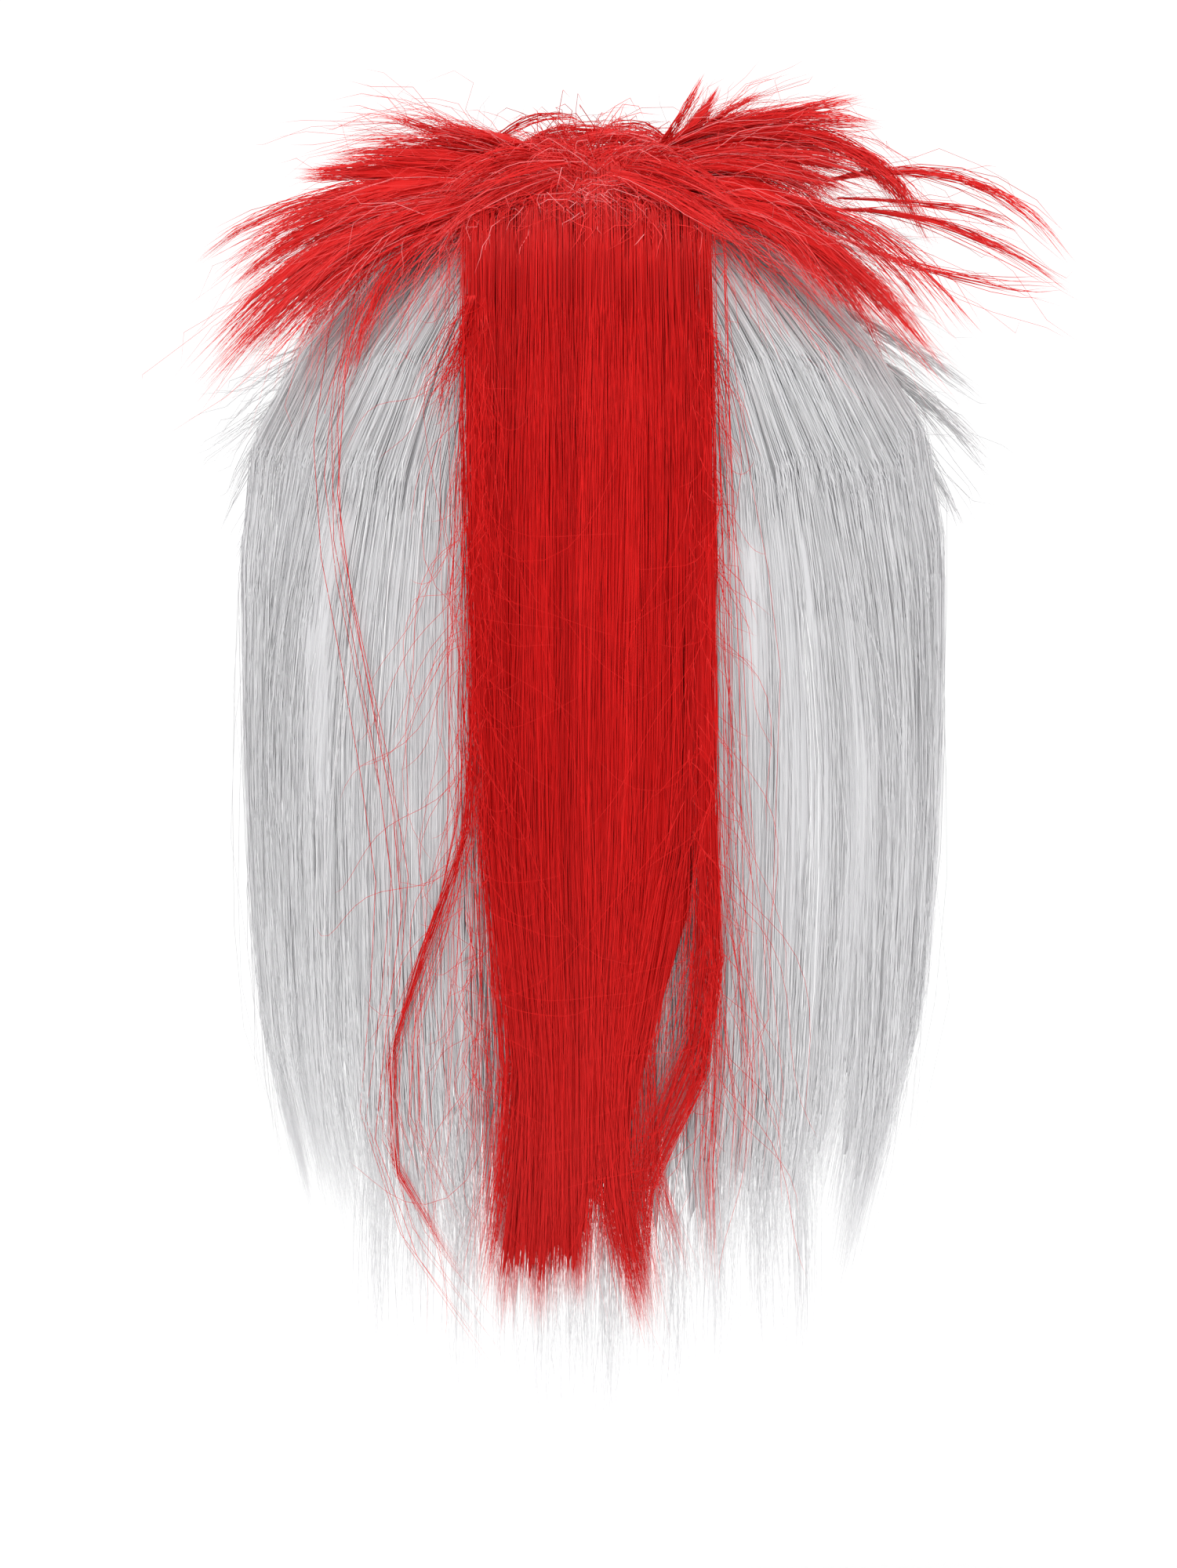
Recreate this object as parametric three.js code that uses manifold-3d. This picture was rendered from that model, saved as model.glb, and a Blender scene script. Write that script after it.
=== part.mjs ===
// A mullet wig of long-pile faux fur, in the form it has on a head: a cloth cap, short spiky red hair brushed
// out from the crown to both sides, a long red stripe down the back, and white hair at the sides and nape.
// Millimetres, +Z up. The face looks along -Y and the wearer's left is +X.
// The origin is where the crown of the head touches the inside of the cap.
import * as THREE from "three";
import Module from "manifold-3d";

const wasm = await Module();
wasm.setup();

// The head that the cap is made for
const headBreadth = 152;
const headFront = 90; // from the axis under the crown to the forehead
const headBack = 100; // from that axis to the back of the head
const widestDepth = 88; // below the crown, where the head is widest
const napeTaper = 0.3; // share of the girth that the head loses from there to the nape

// The cap, and the depths of its edge below the crown
const capWall = 2;
const browDepth = 56;
const templeDepth = 80;
const sideburnDepth = 112;
const earDepth = 100;
const napeDepth = 172;
const seatGap = 0.4; // between the cap and the hair on it
const pieceGap = 0.5; // between two pieces of hair

// The turns from the middle of the face at which one piece of hair ends and the next begins
const hairlineTurn = 18;
const templeTurn = 62;
const earTurn = 92;

// The long hair, with depths below the crown
const furDepth = 14; // how far the white hair stands off the cap at the widest level
const underDepth = 6; // how far the white layer behind the red stripe stands off
const underFill = 12; // how far that layer reaches in towards the neck
const hangTaper = 0.16; // share of the girth that hanging hair draws in by its lowest tips
const curtainRoot = 12;
const curtainDrop = 290;
const napeRoot = 94;
const napeDrop = 320;
const napeWidth = 102;
const tailWidth = 62;
const tailThickness = 8;
const tailRoot = 13;
const tailDrop = 284;
const tailNarrowing = 0.38; // share of the stripe's width that it loses by its tips
const tipThinning = 0.6; // share of its thickness that hanging hair loses by its tips

// The short red hair over the crown
const bandWidth = 60;
const bandThickness = 7;
const bandFront = 66; // how far the band runs in front of and behind the crown
const bandBack = 50;
const wingSpan = 104; // from the middle to the tips at each side
const wingRise = 26; // from the crown up to the highest tips
const wingDrop = 56; // from the crown down to the lowest tips
const wingLockWidth = 30;
const wingArch = 11;
const fringeReach = 26; // how far the fringe stands in front of the forehead
const fringeDrop = 72;
const fringeLockWidth = 23;

// The short white hair at the front and sides
const frontSpan = 92;
const frontRise = 26;
const frontDrop = 84;
const frontLockWidth = 20;
const flareSpan = 107;
const flareDrop = 120;
const flareLockWidth = 27;
const shortArch = 6;
const matThickness = 5; // the dense short pile that the short locks stand on

const lockFlatness = 0.34; // a lock's thickness as a share of its width
const lockTip = 0.06; // what is left of that width at the tip
const lockSides = 6;
const lockSteps = 4;
const headColumns = 28;
const headRows = 8;
const crownArc = 0.06; // radians from the crown to the cap's first ring
const skinRows = 7;
const matRows = 3;
const matColumns = 3;
const bandRows = 6;

const sides = { left: 1, right: -1 };
const mix = THREE.MathUtils.lerp;
const smooth = THREE.MathUtils.smoothstep;
const radians = THREE.MathUtils.degToRad;
const degrees = THREE.MathUtils.radToDeg;
const point = (x, y, z) => new THREE.Vector3(x, y, z);

// How the head, and the hair that hangs from it, draw in below the widest level
const headForm = { taper: napeTaper, drop: napeDepth };
const hairForm = { taper: hangTaper, drop: napeDrop };

// The girth at a depth below the crown, as a share of the girth at the widest level
function girth(depth, form) {
  if (depth < widestDepth) {
    const rise = 1 - Math.max(depth, 0) / widestDepth;
    return Math.sqrt(1 - rise * rise);
  }
  const below = (depth - widestDepth) / (form.drop - widestDepth);
  return 1 - form.taper * below * below;
}

// A point of the form, or of a layer at lift outside it. turn goes from the face round to the wearer's left.
function shell(turn, depth, lift, form = headForm) {
  const angle = radians(turn);
  const length = Math.cos(angle) > 0 ? headFront : headBack;
  const share = girth(depth, form);
  return point(
    Math.sin(angle) * (headBreadth / 2 + lift) * share,
    -Math.cos(angle) * (length + lift) * share,
    lift * Math.max(0, 1 - depth / widestDepth) - depth,
  );
}

// The turn of a point of the hanging hair that lies this far across to the wearer's left, behind the head
function turnBehind(across, depth, lift) {
  const half = (headBreadth / 2 + lift) * girth(depth, hairForm);
  return 180 - degrees(Math.asin(THREE.MathUtils.clamp(across / half, -1, 1)));
}

// A point over the crown at lift outside the head, from where it lies in plan
function overCrown(across, back, lift) {
  const length = back < 0 ? headFront : headBack;
  const share = Math.min(1, Math.hypot(across / (headBreadth / 2), back / length));
  return point(across, back, lift - widestDepth * (1 - Math.sqrt(1 - share * share)));
}

// A closed solid through rings of points, each ring with as many points in the same order
function loft(rings) {
  const count = rings[0].length;
  const last = (rings.length - 1) * count;
  const faces = [];
  for (let start = 0; start < last; start += count) {
    for (let i = 0; i < count; i++) {
      const [a, b] = [start + i, start + ((i + 1) % count)];
      faces.push([a, b, a + count], [b, b + count, a + count]);
    }
  }
  for (let i = 0; i < count / 2 - 1; i++) {
    const [a, b, c, d] = [i, i + 1, count - 2 - i, count - 1 - i];
    faces.push([b, a, d], [b, d, c]);
    faces.push([last + a, last + b, last + d], [last + b, last + c, last + d]);
  }
  const points = rings.flat();
  const volume = faces.reduce(
    (sum, [a, b, c]) => sum + points[a].dot(points[b].clone().cross(points[c])),
    0,
  );
  if (volume < 0) faces.forEach((face) => face.reverse());
  const positions = new Float32Array(points.flatMap((p) => p.toArray()));
  const triangles = new Uint32Array(faces.flat());
  return new wasm.Manifold(
    new wasm.Mesh({ numProp: 3, vertProperties: positions, triVerts: triangles }),
  );
}

// Joins overlapping solids
function fuse(solids) {
  return solids.reduce((whole, solid) => whole.add(solid));
}

// The largest body of a solid that a cut may have left in several
function mainBody(solid) {
  const bodies = solid.decompose();
  return bodies.reduce((best, body) => (body.volume() > best.volume() ? body : best));
}

// A ring with a point for each column round the head
function ringAt(pointAt) {
  return Array.from({ length: headColumns }, (_, i) => pointAt((360 * i) / headColumns));
}

// The depth of the cap's edge, the same at both sides of the face
function edgeDepth(turn) {
  const stations = [
    { turn: 0, depth: browDepth },
    { turn: 52, depth: templeDepth },
    { turn: 78, depth: sideburnDepth },
    { turn: 98, depth: earDepth },
    { turn: 132, depth: mix(earDepth, napeDepth, 0.8) },
    { turn: 180, depth: napeDepth },
  ];
  const fromFace = turn > 180 ? 360 - turn : Math.abs(turn);
  const next = Math.max(1, stations.findIndex((station) => station.turn >= fromFace));
  const [a, b] = [stations[next - 1], stations[next]];
  return mix(a.depth, b.depth, smooth(fromFace, a.turn, b.turn));
}

// Rings round the head from just beside the crown down to the cap's edge, at lift outside the head.
// Rows are evenly spaced along the head, so depth is worked out from the arc down to it.
function capRings(lift) {
  const arcOf = (depth) =>
    depth < widestDepth ? Math.acos(1 - depth / widestDepth) : Math.PI / 2 + depth / widestDepth - 1;
  const depthOf = (arc) =>
    widestDepth * (arc < Math.PI / 2 ? 1 - Math.cos(arc) : 1 + arc - Math.PI / 2);
  return Array.from({ length: headRows + 1 }, (_, row) =>
    ringAt((turn) => {
      const arc = mix(crownArc, arcOf(edgeDepth(turn)), row / headRows);
      return shell(turn, depthOf(arc), lift);
    }));
}

function cap() {
  return loft([...capRings(capWall), ...capRings(0).reverse()]);
}

// What the hair keeps clear of: the cap and all that is inside it and below it
function headSolid(lift) {
  const below = ringAt((turn) => shell(turn, napeDepth + 2 * capWall, lift));
  return loft([...capRings(lift), below]);
}

// One lock of hair: a flat tapered lens along an arc that bulges away from the head
function lock({ root, tip, arch, width }, grow) {
  const heart = point(0, 0, -widestDepth);
  const middle = root.clone().lerp(tip, 0.5);
  const control = middle.clone().add(middle.clone().sub(heart).setLength(2 * arch));
  const path = new THREE.QuadraticBezierCurve3(root, control, tip);
  const rings = [];
  for (let step = 0; step <= lockSteps; step++) {
    const along = step / lockSteps;
    const centre = path.getPoint(along);
    const ahead = path.getTangent(along);
    if (step === lockSteps) centre.addScaledVector(ahead, grow);
    const across = ahead.clone().cross(centre.clone().sub(heart)).normalize();
    const out = across.clone().cross(ahead);
    const size = width * Math.max(lockTip, Math.sin(Math.PI * (0.25 + 0.75 * along)));
    const [halfWidth, halfThickness] = [size / 2 + grow, (size * lockFlatness) / 2 + grow];
    rings.push(
      Array.from({ length: lockSides }, (_, i) => {
        const angle = ((i + 0.5) * 2 * Math.PI) / lockSides;
        return centre.clone()
          .addScaledVector(across, Math.cos(angle) * halfWidth)
          .addScaledVector(out, Math.sin(angle) * halfThickness);
      }),
    );
  }
  return loft(rings);
}

// A row of a skin, made wider by grow at both ends
function widened(row, grow) {
  const beyond = (end, next) => end.clone().add(end.clone().sub(next).setLength(grow));
  if (grow === 0) return row;
  return [beyond(row[0], row[1]), ...row.slice(1, -1), beyond(row.at(-1), row.at(-2))];
}

// A skin of hair with a pointed ridge for each lock, whose tips are shares of the drop.
// place gives a point from the share across, the depth and the lift; inner and outer give the lifts.
function skin({ place, root, drop, tips, inner, outer }, grow) {
  const [valleyTip, valleySwell] = [0.88, 0.75];
  const columns = [];
  for (let i = 0; i <= 2 * tips.length; i++) {
    const ridge = i % 2 === 1;
    const beside = ridge ? [tips[(i - 1) / 2]] : [tips[i / 2 - 1], tips[i / 2]].filter(Boolean);
    columns.push({
      across: i / (2 * tips.length),
      tip: drop * Math.min(...beside) * (ridge ? 1 : valleyTip),
      swell: ridge ? 1 : valleySwell,
    });
  }
  const rings = [];
  for (let row = 0; row <= skinRows; row++) {
    const along = row / skinRows;
    const longer = row === 0 ? -grow : row === skinRows ? grow : 0;
    const layer = (liftAt) =>
      widened(
        columns.map((column) => {
          const depth = mix(root, column.tip, along) + longer;
          return place(column.across, depth, liftAt(column, depth));
        }),
        grow,
      );
    const outside = layer((column, depth) =>
      mix(inner(along, depth), outer(along, depth), column.swell) + grow);
    const inside = layer((column, depth) => inner(along, depth) - grow);
    rings.push([...outside, ...inside.reverse()]);
  }
  return loft(rings);
}

// The dense short pile on the cap between two turns and two depths, which are shares of its edge's depth
function mat({ turns, depths }, grow) {
  const rings = [];
  for (let row = 0; row <= matRows; row++) {
    const longer = row === 0 ? -grow : row === matRows ? grow : 0;
    const layer = (lift) =>
      widened(
        Array.from({ length: matColumns + 1 }, (_, i) => {
          const turn = mix(turns[0], turns[1], i / matColumns);
          const depth = mix(depths[0], depths[1], row / matRows) * edgeDepth(turn);
          return shell(turn, depth + longer, lift);
        }),
        grow,
      );
    rings.push([...layer(capWall + matThickness + grow), ...layer(0).reverse()]);
  }
  return loft(rings);
}

// The red band over the crown, half of it for each side
function band(side, grow) {
  const rings = [];
  for (let row = 0; row <= bandRows; row++) {
    const back = mix(-bandFront - grow, bandBack + grow, row / bandRows);
    const layer = (lift) =>
      Array.from({ length: matColumns + 1 }, (_, i) => {
        const across = mix(pieceGap / 2 - grow, bandWidth / 2 + grow, i / matColumns);
        return overCrown(side * across, back, lift);
      });
    rings.push([...layer(capWall + bandThickness + grow), ...layer(0).reverse()]);
  }
  return loft(rings);
}

// The spiky red hair of one side. Backs are shares of the band's length in front of or behind the crown,
// tipOut is a share of the wings' span, and tipUp of their rise or drop.
const wingLocks = {
  left: [
    { rootBack: 0.85, tipBack: 1.1, tipOut: 0.97, tipUp: -0.8, width: 1 },
    { rootBack: 0.75, tipBack: 1.0, tipOut: 0.82, tipUp: -1, width: 0.9 },
    { rootBack: 0.7, tipBack: 0.8, tipOut: 0.86, tipUp: -0.3, width: 1 },
    { rootBack: 0.6, tipBack: 0.6, tipOut: 0.73, tipUp: 0.15, width: 0.8 },
    { rootBack: 0.4, tipBack: 0.55, tipOut: 1, tipUp: -1, width: 0.9 },
    { rootBack: 0.3, tipBack: 0.25, tipOut: 0.92, tipUp: -0.48, width: 1 },
    { rootBack: 0.1, tipBack: 0.1, tipOut: 0.5, tipUp: 0.78, width: 0.7 },
    { rootBack: -0.05, tipBack: -0.05, tipOut: 0.9, tipUp: -0.9, width: 1 },
    { rootBack: -0.25, tipBack: -0.3, tipOut: 0.84, tipUp: -0.5, width: 1 },
    { rootBack: -0.45, tipBack: -0.6, tipOut: 0.78, tipUp: -0.85, width: 1 },
    { rootBack: -0.65, tipBack: -0.9, tipOut: 0.64, tipUp: -0.85, width: 0.9 },
  ],
  right: [
    { rootBack: 0.85, tipBack: 1.1, tipOut: 0.93, tipUp: -0.95, width: 0.9 },
    { rootBack: 0.75, tipBack: 1.0, tipOut: 0.75, tipUp: -0.88, width: 0.9 },
    { rootBack: 0.7, tipBack: 0.8, tipOut: 0.93, tipUp: -0.54, width: 0.9 },
    { rootBack: 0.6, tipBack: 0.6, tipOut: 0.86, tipUp: 0.27, width: 0.9 },
    { rootBack: 0.5, tipBack: 0.5, tipOut: 1.2, tipUp: -0.33, width: 0.42 },
    { rootBack: 0.4, tipBack: 0.4, tipOut: 1.21, tipUp: -0.52, width: 0.42 },
    { rootBack: 0.35, tipBack: 0.3, tipOut: 0.72, tipUp: 0.65, width: 0.8 },
    { rootBack: 0.2, tipBack: 0.3, tipOut: 0.51, tipUp: 0.92, width: 0.7 },
    { rootBack: 0.05, tipBack: 0.15, tipOut: 0.33, tipUp: 1, width: 0.6 },
    { rootBack: -0.05, tipBack: -0.05, tipOut: 0.9, tipUp: -0.6, width: 1 },
    { rootBack: -0.25, tipBack: -0.3, tipOut: 0.86, tipUp: -0.9, width: 1 },
    { rootBack: -0.45, tipBack: -0.6, tipOut: 0.78, tipUp: -0.7, width: 1 },
    { rootBack: -0.65, tipBack: -0.9, tipOut: 0.64, tipUp: -0.85, width: 0.9 },
  ],
};

// A height from a share of how far hair rises over the crown, or of how far it drops below it
const height = (share, rise, drop) => share * (share > 0 ? rise : drop);

function redCrown(sideName, grow) {
  const side = sides[sideName];
  const rootOut = bandWidth / 4;
  const rootLift = capWall + bandThickness / 2;
  const backOf = (share) => share * (share > 0 ? bandBack : bandFront);
  const locks = wingLocks[sideName].map((row) =>
    lock(
      {
        root: overCrown(side * rootOut, backOf(row.rootBack), rootLift),
        tip: point(
          side * row.tipOut * wingSpan,
          backOf(row.tipBack),
          height(row.tipUp, wingRise, wingDrop),
        ),
        arch: wingArch,
        width: row.width * wingLockWidth,
      },
      grow,
    ));
  return fuse([band(side, grow), ...locks]);
}

// The short red hair that falls from the crown over the forehead
function redFringe(grow) {
  const locks = [
    { across: -0.9, reach: 0.55, drop: 0.86 },
    { across: -0.5, reach: 0.85, drop: 1 },
    { across: -0.05, reach: 1, drop: 0.9 },
    { across: 0.4, reach: 0.8, drop: 1 },
    { across: 0.85, reach: 0.6, drop: 0.8 },
  ];
  const [rootShare, spread] = [0.72, 1.4];
  const rootLift = capWall + matThickness / 2;
  const solids = locks.map((row) =>
    lock(
      {
        root: overCrown((row.across * bandWidth) / 2, -rootShare * headFront, rootLift),
        tip: point(
          (row.across * spread * bandWidth) / 2,
          -(headFront + row.reach * fringeReach),
          -row.drop * fringeDrop,
        ),
        arch: shortArch,
        width: fringeLockWidth,
      },
      grow,
    ));
  return fuse([mat({ turns: [-hairlineTurn, hairlineTurn], depths: [0.5, 0.97] }, grow), ...solids]);
}

// A point in the hanging hair, where across is measured to the wearer's left
function inHair(across, depth, lift) {
  return shell(turnBehind(across, depth, lift), depth, lift, hairForm);
}

// The inner lift of the long hair: on the cap at first, then over the white layer at the nape
function hangSeat(depth) {
  return capWall + (underDepth + pieceGap) * smooth(depth, napeRoot * 0.6, napeRoot - pieceGap);
}

// The long red stripe: a skin down the back of the head, with loose side locks near its tips
function redTail(grow) {
  const narrowingFrom = 0.62; // share of the drop at which the stripe starts to draw in
  const widthAt = (depth) =>
    tailWidth * (1 - tailNarrowing * smooth(depth / tailDrop, narrowingFrom, 1));
  const place = (across, depth, lift) =>
    inHair(mix(0.5, -0.5, across) * widthAt(depth), depth, lift);
  const stripe = skin(
    {
      place,
      root: tailRoot,
      drop: tailDrop,
      tips: [0.955, 0.985, 0.965, 1, 0.94],
      inner: (along, depth) => hangSeat(depth),
      outer: (along, depth) => hangSeat(depth) + tailThickness * (1 - tipThinning * along ** 3),
    },
    grow,
  );
  // Depths are shares of the stripe's drop; across is a share of its width, to the wearer's left
  const loose = [
    { rootAcross: -0.38, rootDepth: 0.55, tipAcross: -0.24, tipDepth: 0.93, arch: 4, width: 12 },
    { rootAcross: 0.3, rootDepth: 0.6, tipAcross: 0.36, tipDepth: 0.95, arch: 4, width: 9 },
  ];
  const locks = loose.map((row) => {
    const at = (across, share) => {
      const depth = share * tailDrop;
      return inHair(across * tailWidth, depth, hangSeat(depth) + tailThickness / 2);
    };
    const [root, tip] = [at(row.rootAcross, row.rootDepth), at(row.tipAcross, row.tipDepth)];
    return lock({ root, tip, arch: row.arch, width: row.width }, grow);
  });
  return fuse([stripe, ...locks]);
}

// White tufts of the front hairline. rootTurn is from the face and rootDepth a share of the cap's edge depth;
// tipOut is a share of the tufts' span, tipUp of their rise or drop, and tipFront of the head's front.
const frontLocks = {
  left: [
    { rootTurn: 32, rootDepth: 0.4, tipOut: 0.3, tipUp: 0.9, tipFront: 0.8, width: 1.1 },
    { rootTurn: 44, rootDepth: 0.35, tipOut: 0.56, tipUp: 0.5, tipFront: 0.7, width: 1 },
    { rootTurn: 30, rootDepth: 0.75, tipOut: 0.55, tipUp: -0.75, tipFront: 1.15, width: 1 },
    { rootTurn: 42, rootDepth: 0.7, tipOut: 0.76, tipUp: -0.82, tipFront: 0.98, width: 1 },
    { rootTurn: 52, rootDepth: 0.75, tipOut: 0.93, tipUp: -0.95, tipFront: 0.72, width: 1 },
    { rootTurn: 56, rootDepth: 0.55, tipOut: 1, tipUp: -0.66, tipFront: 0.5, width: 1 },
  ],
  right: [
    { rootTurn: 32, rootDepth: 0.4, tipOut: 0.26, tipUp: 1, tipFront: 0.8, width: 1.1 },
    { rootTurn: 44, rootDepth: 0.35, tipOut: 0.52, tipUp: 0.6, tipFront: 0.7, width: 1 },
    { rootTurn: 30, rootDepth: 0.75, tipOut: 0.58, tipUp: -0.8, tipFront: 1.12, width: 1 },
    { rootTurn: 42, rootDepth: 0.7, tipOut: 0.74, tipUp: -0.74, tipFront: 1, width: 1 },
    { rootTurn: 52, rootDepth: 0.75, tipOut: 0.95, tipUp: -0.9, tipFront: 0.75, width: 1 },
    { rootTurn: 56, rootDepth: 0.55, tipOut: 1, tipUp: -0.6, tipFront: 0.52, width: 1 },
  ],
};

function whiteFront(sideName, grow) {
  const side = sides[sideName];
  const locks = frontLocks[sideName].map((row) => {
    const turn = side * row.rootTurn;
    const root = shell(turn, row.rootDepth * edgeDepth(turn), capWall + matThickness / 2);
    const tip = point(
      side * row.tipOut * frontSpan,
      -row.tipFront * headFront,
      height(row.tipUp, frontRise, frontDrop),
    );
    return lock({ root, tip, arch: shortArch, width: row.width * frontLockWidth }, grow);
  });
  const turns = [side * hairlineTurn, side * templeTurn];
  return fuse([mat({ turns, depths: [0.12, 0.97] }, grow), ...locks]);
}

// White hair over the ears that flares out below the red hair. tipOut is a share of the flare's span,
// tipDown of its drop, and tipBack of the head's back, behind the crown.
const flareLocks = {
  left: [
    { rootTurn: 64, rootDepth: 0.62, tipOut: 0.86, tipDown: 0.93, tipBack: -0.42 },
    { rootTurn: 70, rootDepth: 0.74, tipOut: 0.84, tipDown: 1, tipBack: -0.24 },
    { rootTurn: 76, rootDepth: 0.5, tipOut: 0.94, tipDown: 0.72, tipBack: -0.2 },
    { rootTurn: 82, rootDepth: 0.6, tipOut: 0.9, tipDown: 0.9, tipBack: -0.04 },
    { rootTurn: 84, rootDepth: 0.45, tipOut: 1, tipDown: 0.5, tipBack: 0.02 },
    { rootTurn: 88, rootDepth: 0.5, tipOut: 0.95, tipDown: 0.66, tipBack: 0.12 },
  ],
  right: [
    { rootTurn: 64, rootDepth: 0.62, tipOut: 0.86, tipDown: 0.9, tipBack: -0.4 },
    { rootTurn: 70, rootDepth: 0.74, tipOut: 0.82, tipDown: 1, tipBack: -0.24 },
    { rootTurn: 76, rootDepth: 0.45, tipOut: 0.95, tipDown: 0.38, tipBack: -0.12 },
    { rootTurn: 80, rootDepth: 0.5, tipOut: 0.97, tipDown: 0.52, tipBack: 0 },
    { rootTurn: 84, rootDepth: 0.55, tipOut: 1, tipDown: 0.64, tipBack: 0.08 },
    { rootTurn: 88, rootDepth: 0.6, tipOut: 0.92, tipDown: 0.76, tipBack: 0.16 },
  ],
};

function whiteSide(sideName, grow) {
  const side = sides[sideName];
  const locks = flareLocks[sideName].map((row) => {
    const turn = side * row.rootTurn;
    const root = shell(turn, row.rootDepth * edgeDepth(turn), capWall + matThickness / 2);
    const tip = point(side * row.tipOut * flareSpan, row.tipBack * headBack, -row.tipDown * flareDrop);
    return lock({ root, tip, arch: shortArch, width: flareLockWidth }, grow);
  });
  const turns = [side * templeTurn, side * earTurn];
  return fuse([mat({ turns, depths: [0.1, 0.97] }, grow), ...locks]);
}

// Long white hair behind the ear. Its tips are shares of its drop, from the ear round to the red stripe.
const curtainTips = {
  left: [0.88, 0.93, 0.9, 0.94, 0.87, 0.92],
  right: [0.86, 0.93, 1, 0.95, 0.98, 0.94],
};

function whiteCurtain(sideName, grow) {
  const side = sides[sideName];
  const place = (across, depth, lift) => {
    const inmost = turnBehind(tailWidth / 2 + pieceGap, depth, lift);
    return shell(side * mix(earTurn, inmost, across), depth, lift, hairForm);
  };
  return skin(
    {
      place,
      root: curtainRoot,
      drop: curtainDrop,
      tips: curtainTips[sideName],
      inner: (along, depth) => hangSeat(depth),
      outer: (along, depth) => {
        const full = capWall + furDepth - hangSeat(depth);
        return hangSeat(depth) + full * smooth(along, -0.12, 0.2) * (1 - tipThinning * along ** 3);
      },
    },
    grow,
  );
}

// The white layer behind the red stripe, whose tips hang lowest
function whiteNape(grow) {
  const place = (across, depth, lift) => inHair(mix(0.5, -0.5, across) * napeWidth, depth, lift);
  return skin(
    {
      place,
      root: napeRoot,
      drop: napeDrop,
      tips: [0.91, 0.95, 1, 0.98, 0.96, 0.92],
      inner: (along) => mix(-underFill, capWall + underDepth / 2, smooth(along, 0.3, 1)),
      outer: () => capWall + underDepth,
    },
    grow,
  );
}

const finish = (color, roughness) => new THREE.MeshStandardMaterial({ color, roughness, metalness: 0 });
const cloth = finish("#d9d6d2", 0.95);
const redHair = finish("#c0141b", 0.55);
const whiteHair = finish("#dcdde1", 0.55);

// A piece of hair is cleared by the pieces listed before it, each grown by the gap between pieces
const hair = [
  { name: "red_crown_left", material: redHair, build: (grow) => redCrown("left", grow) },
  { name: "red_crown_right", material: redHair, build: (grow) => redCrown("right", grow) },
  { name: "red_fringe", material: redHair, build: redFringe },
  { name: "red_tail", material: redHair, build: redTail },
  { name: "white_front_left", material: whiteHair, build: (grow) => whiteFront("left", grow) },
  { name: "white_front_right", material: whiteHair, build: (grow) => whiteFront("right", grow) },
  { name: "white_side_left", material: whiteHair, build: (grow) => whiteSide("left", grow) },
  { name: "white_side_right", material: whiteHair, build: (grow) => whiteSide("right", grow) },
  { name: "white_curtain_left", material: whiteHair, build: (grow) => whiteCurtain("left", grow) },
  { name: "white_curtain_right", material: whiteHair, build: (grow) => whiteCurtain("right", grow) },
  { name: "white_nape", material: whiteHair, build: whiteNape },
];

function meshOf(name, solid, material) {
  const { vertProperties, triVerts } = solid.getMesh();
  const geometry = new THREE.BufferGeometry();
  geometry.setAttribute("position", new THREE.BufferAttribute(vertProperties, 3));
  geometry.setIndex(new THREE.BufferAttribute(triVerts, 1));
  geometry.computeVertexNormals();
  const mesh = new THREE.Mesh(geometry, material);
  mesh.name = name;
  return mesh;
}

const wig = new THREE.Group();
wig.add(meshOf("cap", cap(), cloth));
let taken = headSolid(capWall + seatGap);
for (const piece of hair) {
  wig.add(meshOf(piece.name, mainBody(piece.build(0).subtract(taken)), piece.material));
  taken = taken.add(piece.build(pieceGap));
}

export default wig;
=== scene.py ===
"""A mullet wig of long-pile faux fur: a sewn cloth cap, spiky red hair over the crown, a long red stripe down
the back, and white hair at the sides and nape. The hair is modelled strand by strand over a combed undercoat.

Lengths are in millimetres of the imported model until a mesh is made. The face looks along -Y, and the wearer's
left is +X. Depths are measured down from the crown.
"""

import math
import zlib
from collections import namedtuple

import bpy
import numpy as np
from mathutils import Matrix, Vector


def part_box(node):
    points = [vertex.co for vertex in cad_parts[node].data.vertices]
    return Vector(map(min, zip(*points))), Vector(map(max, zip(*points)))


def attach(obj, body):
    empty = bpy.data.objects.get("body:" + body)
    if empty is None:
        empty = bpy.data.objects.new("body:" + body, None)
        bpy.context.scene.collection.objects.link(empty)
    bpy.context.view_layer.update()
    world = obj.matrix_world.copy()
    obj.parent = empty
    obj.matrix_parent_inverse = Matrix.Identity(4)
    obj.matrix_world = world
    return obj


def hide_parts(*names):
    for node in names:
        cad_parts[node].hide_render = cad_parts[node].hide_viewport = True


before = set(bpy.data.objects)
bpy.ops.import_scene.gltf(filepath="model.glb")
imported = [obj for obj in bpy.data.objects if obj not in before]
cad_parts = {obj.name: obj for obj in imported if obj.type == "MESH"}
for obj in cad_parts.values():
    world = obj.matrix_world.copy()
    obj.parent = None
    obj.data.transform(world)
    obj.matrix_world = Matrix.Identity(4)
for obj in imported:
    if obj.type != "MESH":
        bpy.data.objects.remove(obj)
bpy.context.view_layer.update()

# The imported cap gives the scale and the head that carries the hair
CAP_BREADTH = 156
cap_low, cap_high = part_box("cap")
MM = (cap_high.x - cap_low.x) / CAP_BREADTH
CAP_WALL = cap_high.z / MM + 0.2
HALF_BREADTH = CAP_BREADTH / 2 - CAP_WALL
HEAD_BACK = cap_high.y / MM - CAP_WALL
HEAD_FRONT = 0.9 * HEAD_BACK
WIDEST = 88
NAPE_DEPTH = -cap_low.z / MM
NAPE_TAPER = 0.3
HANG_DROP = -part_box("white_nape")[0].z / MM
HANG_TAPER = 0.16

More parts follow.
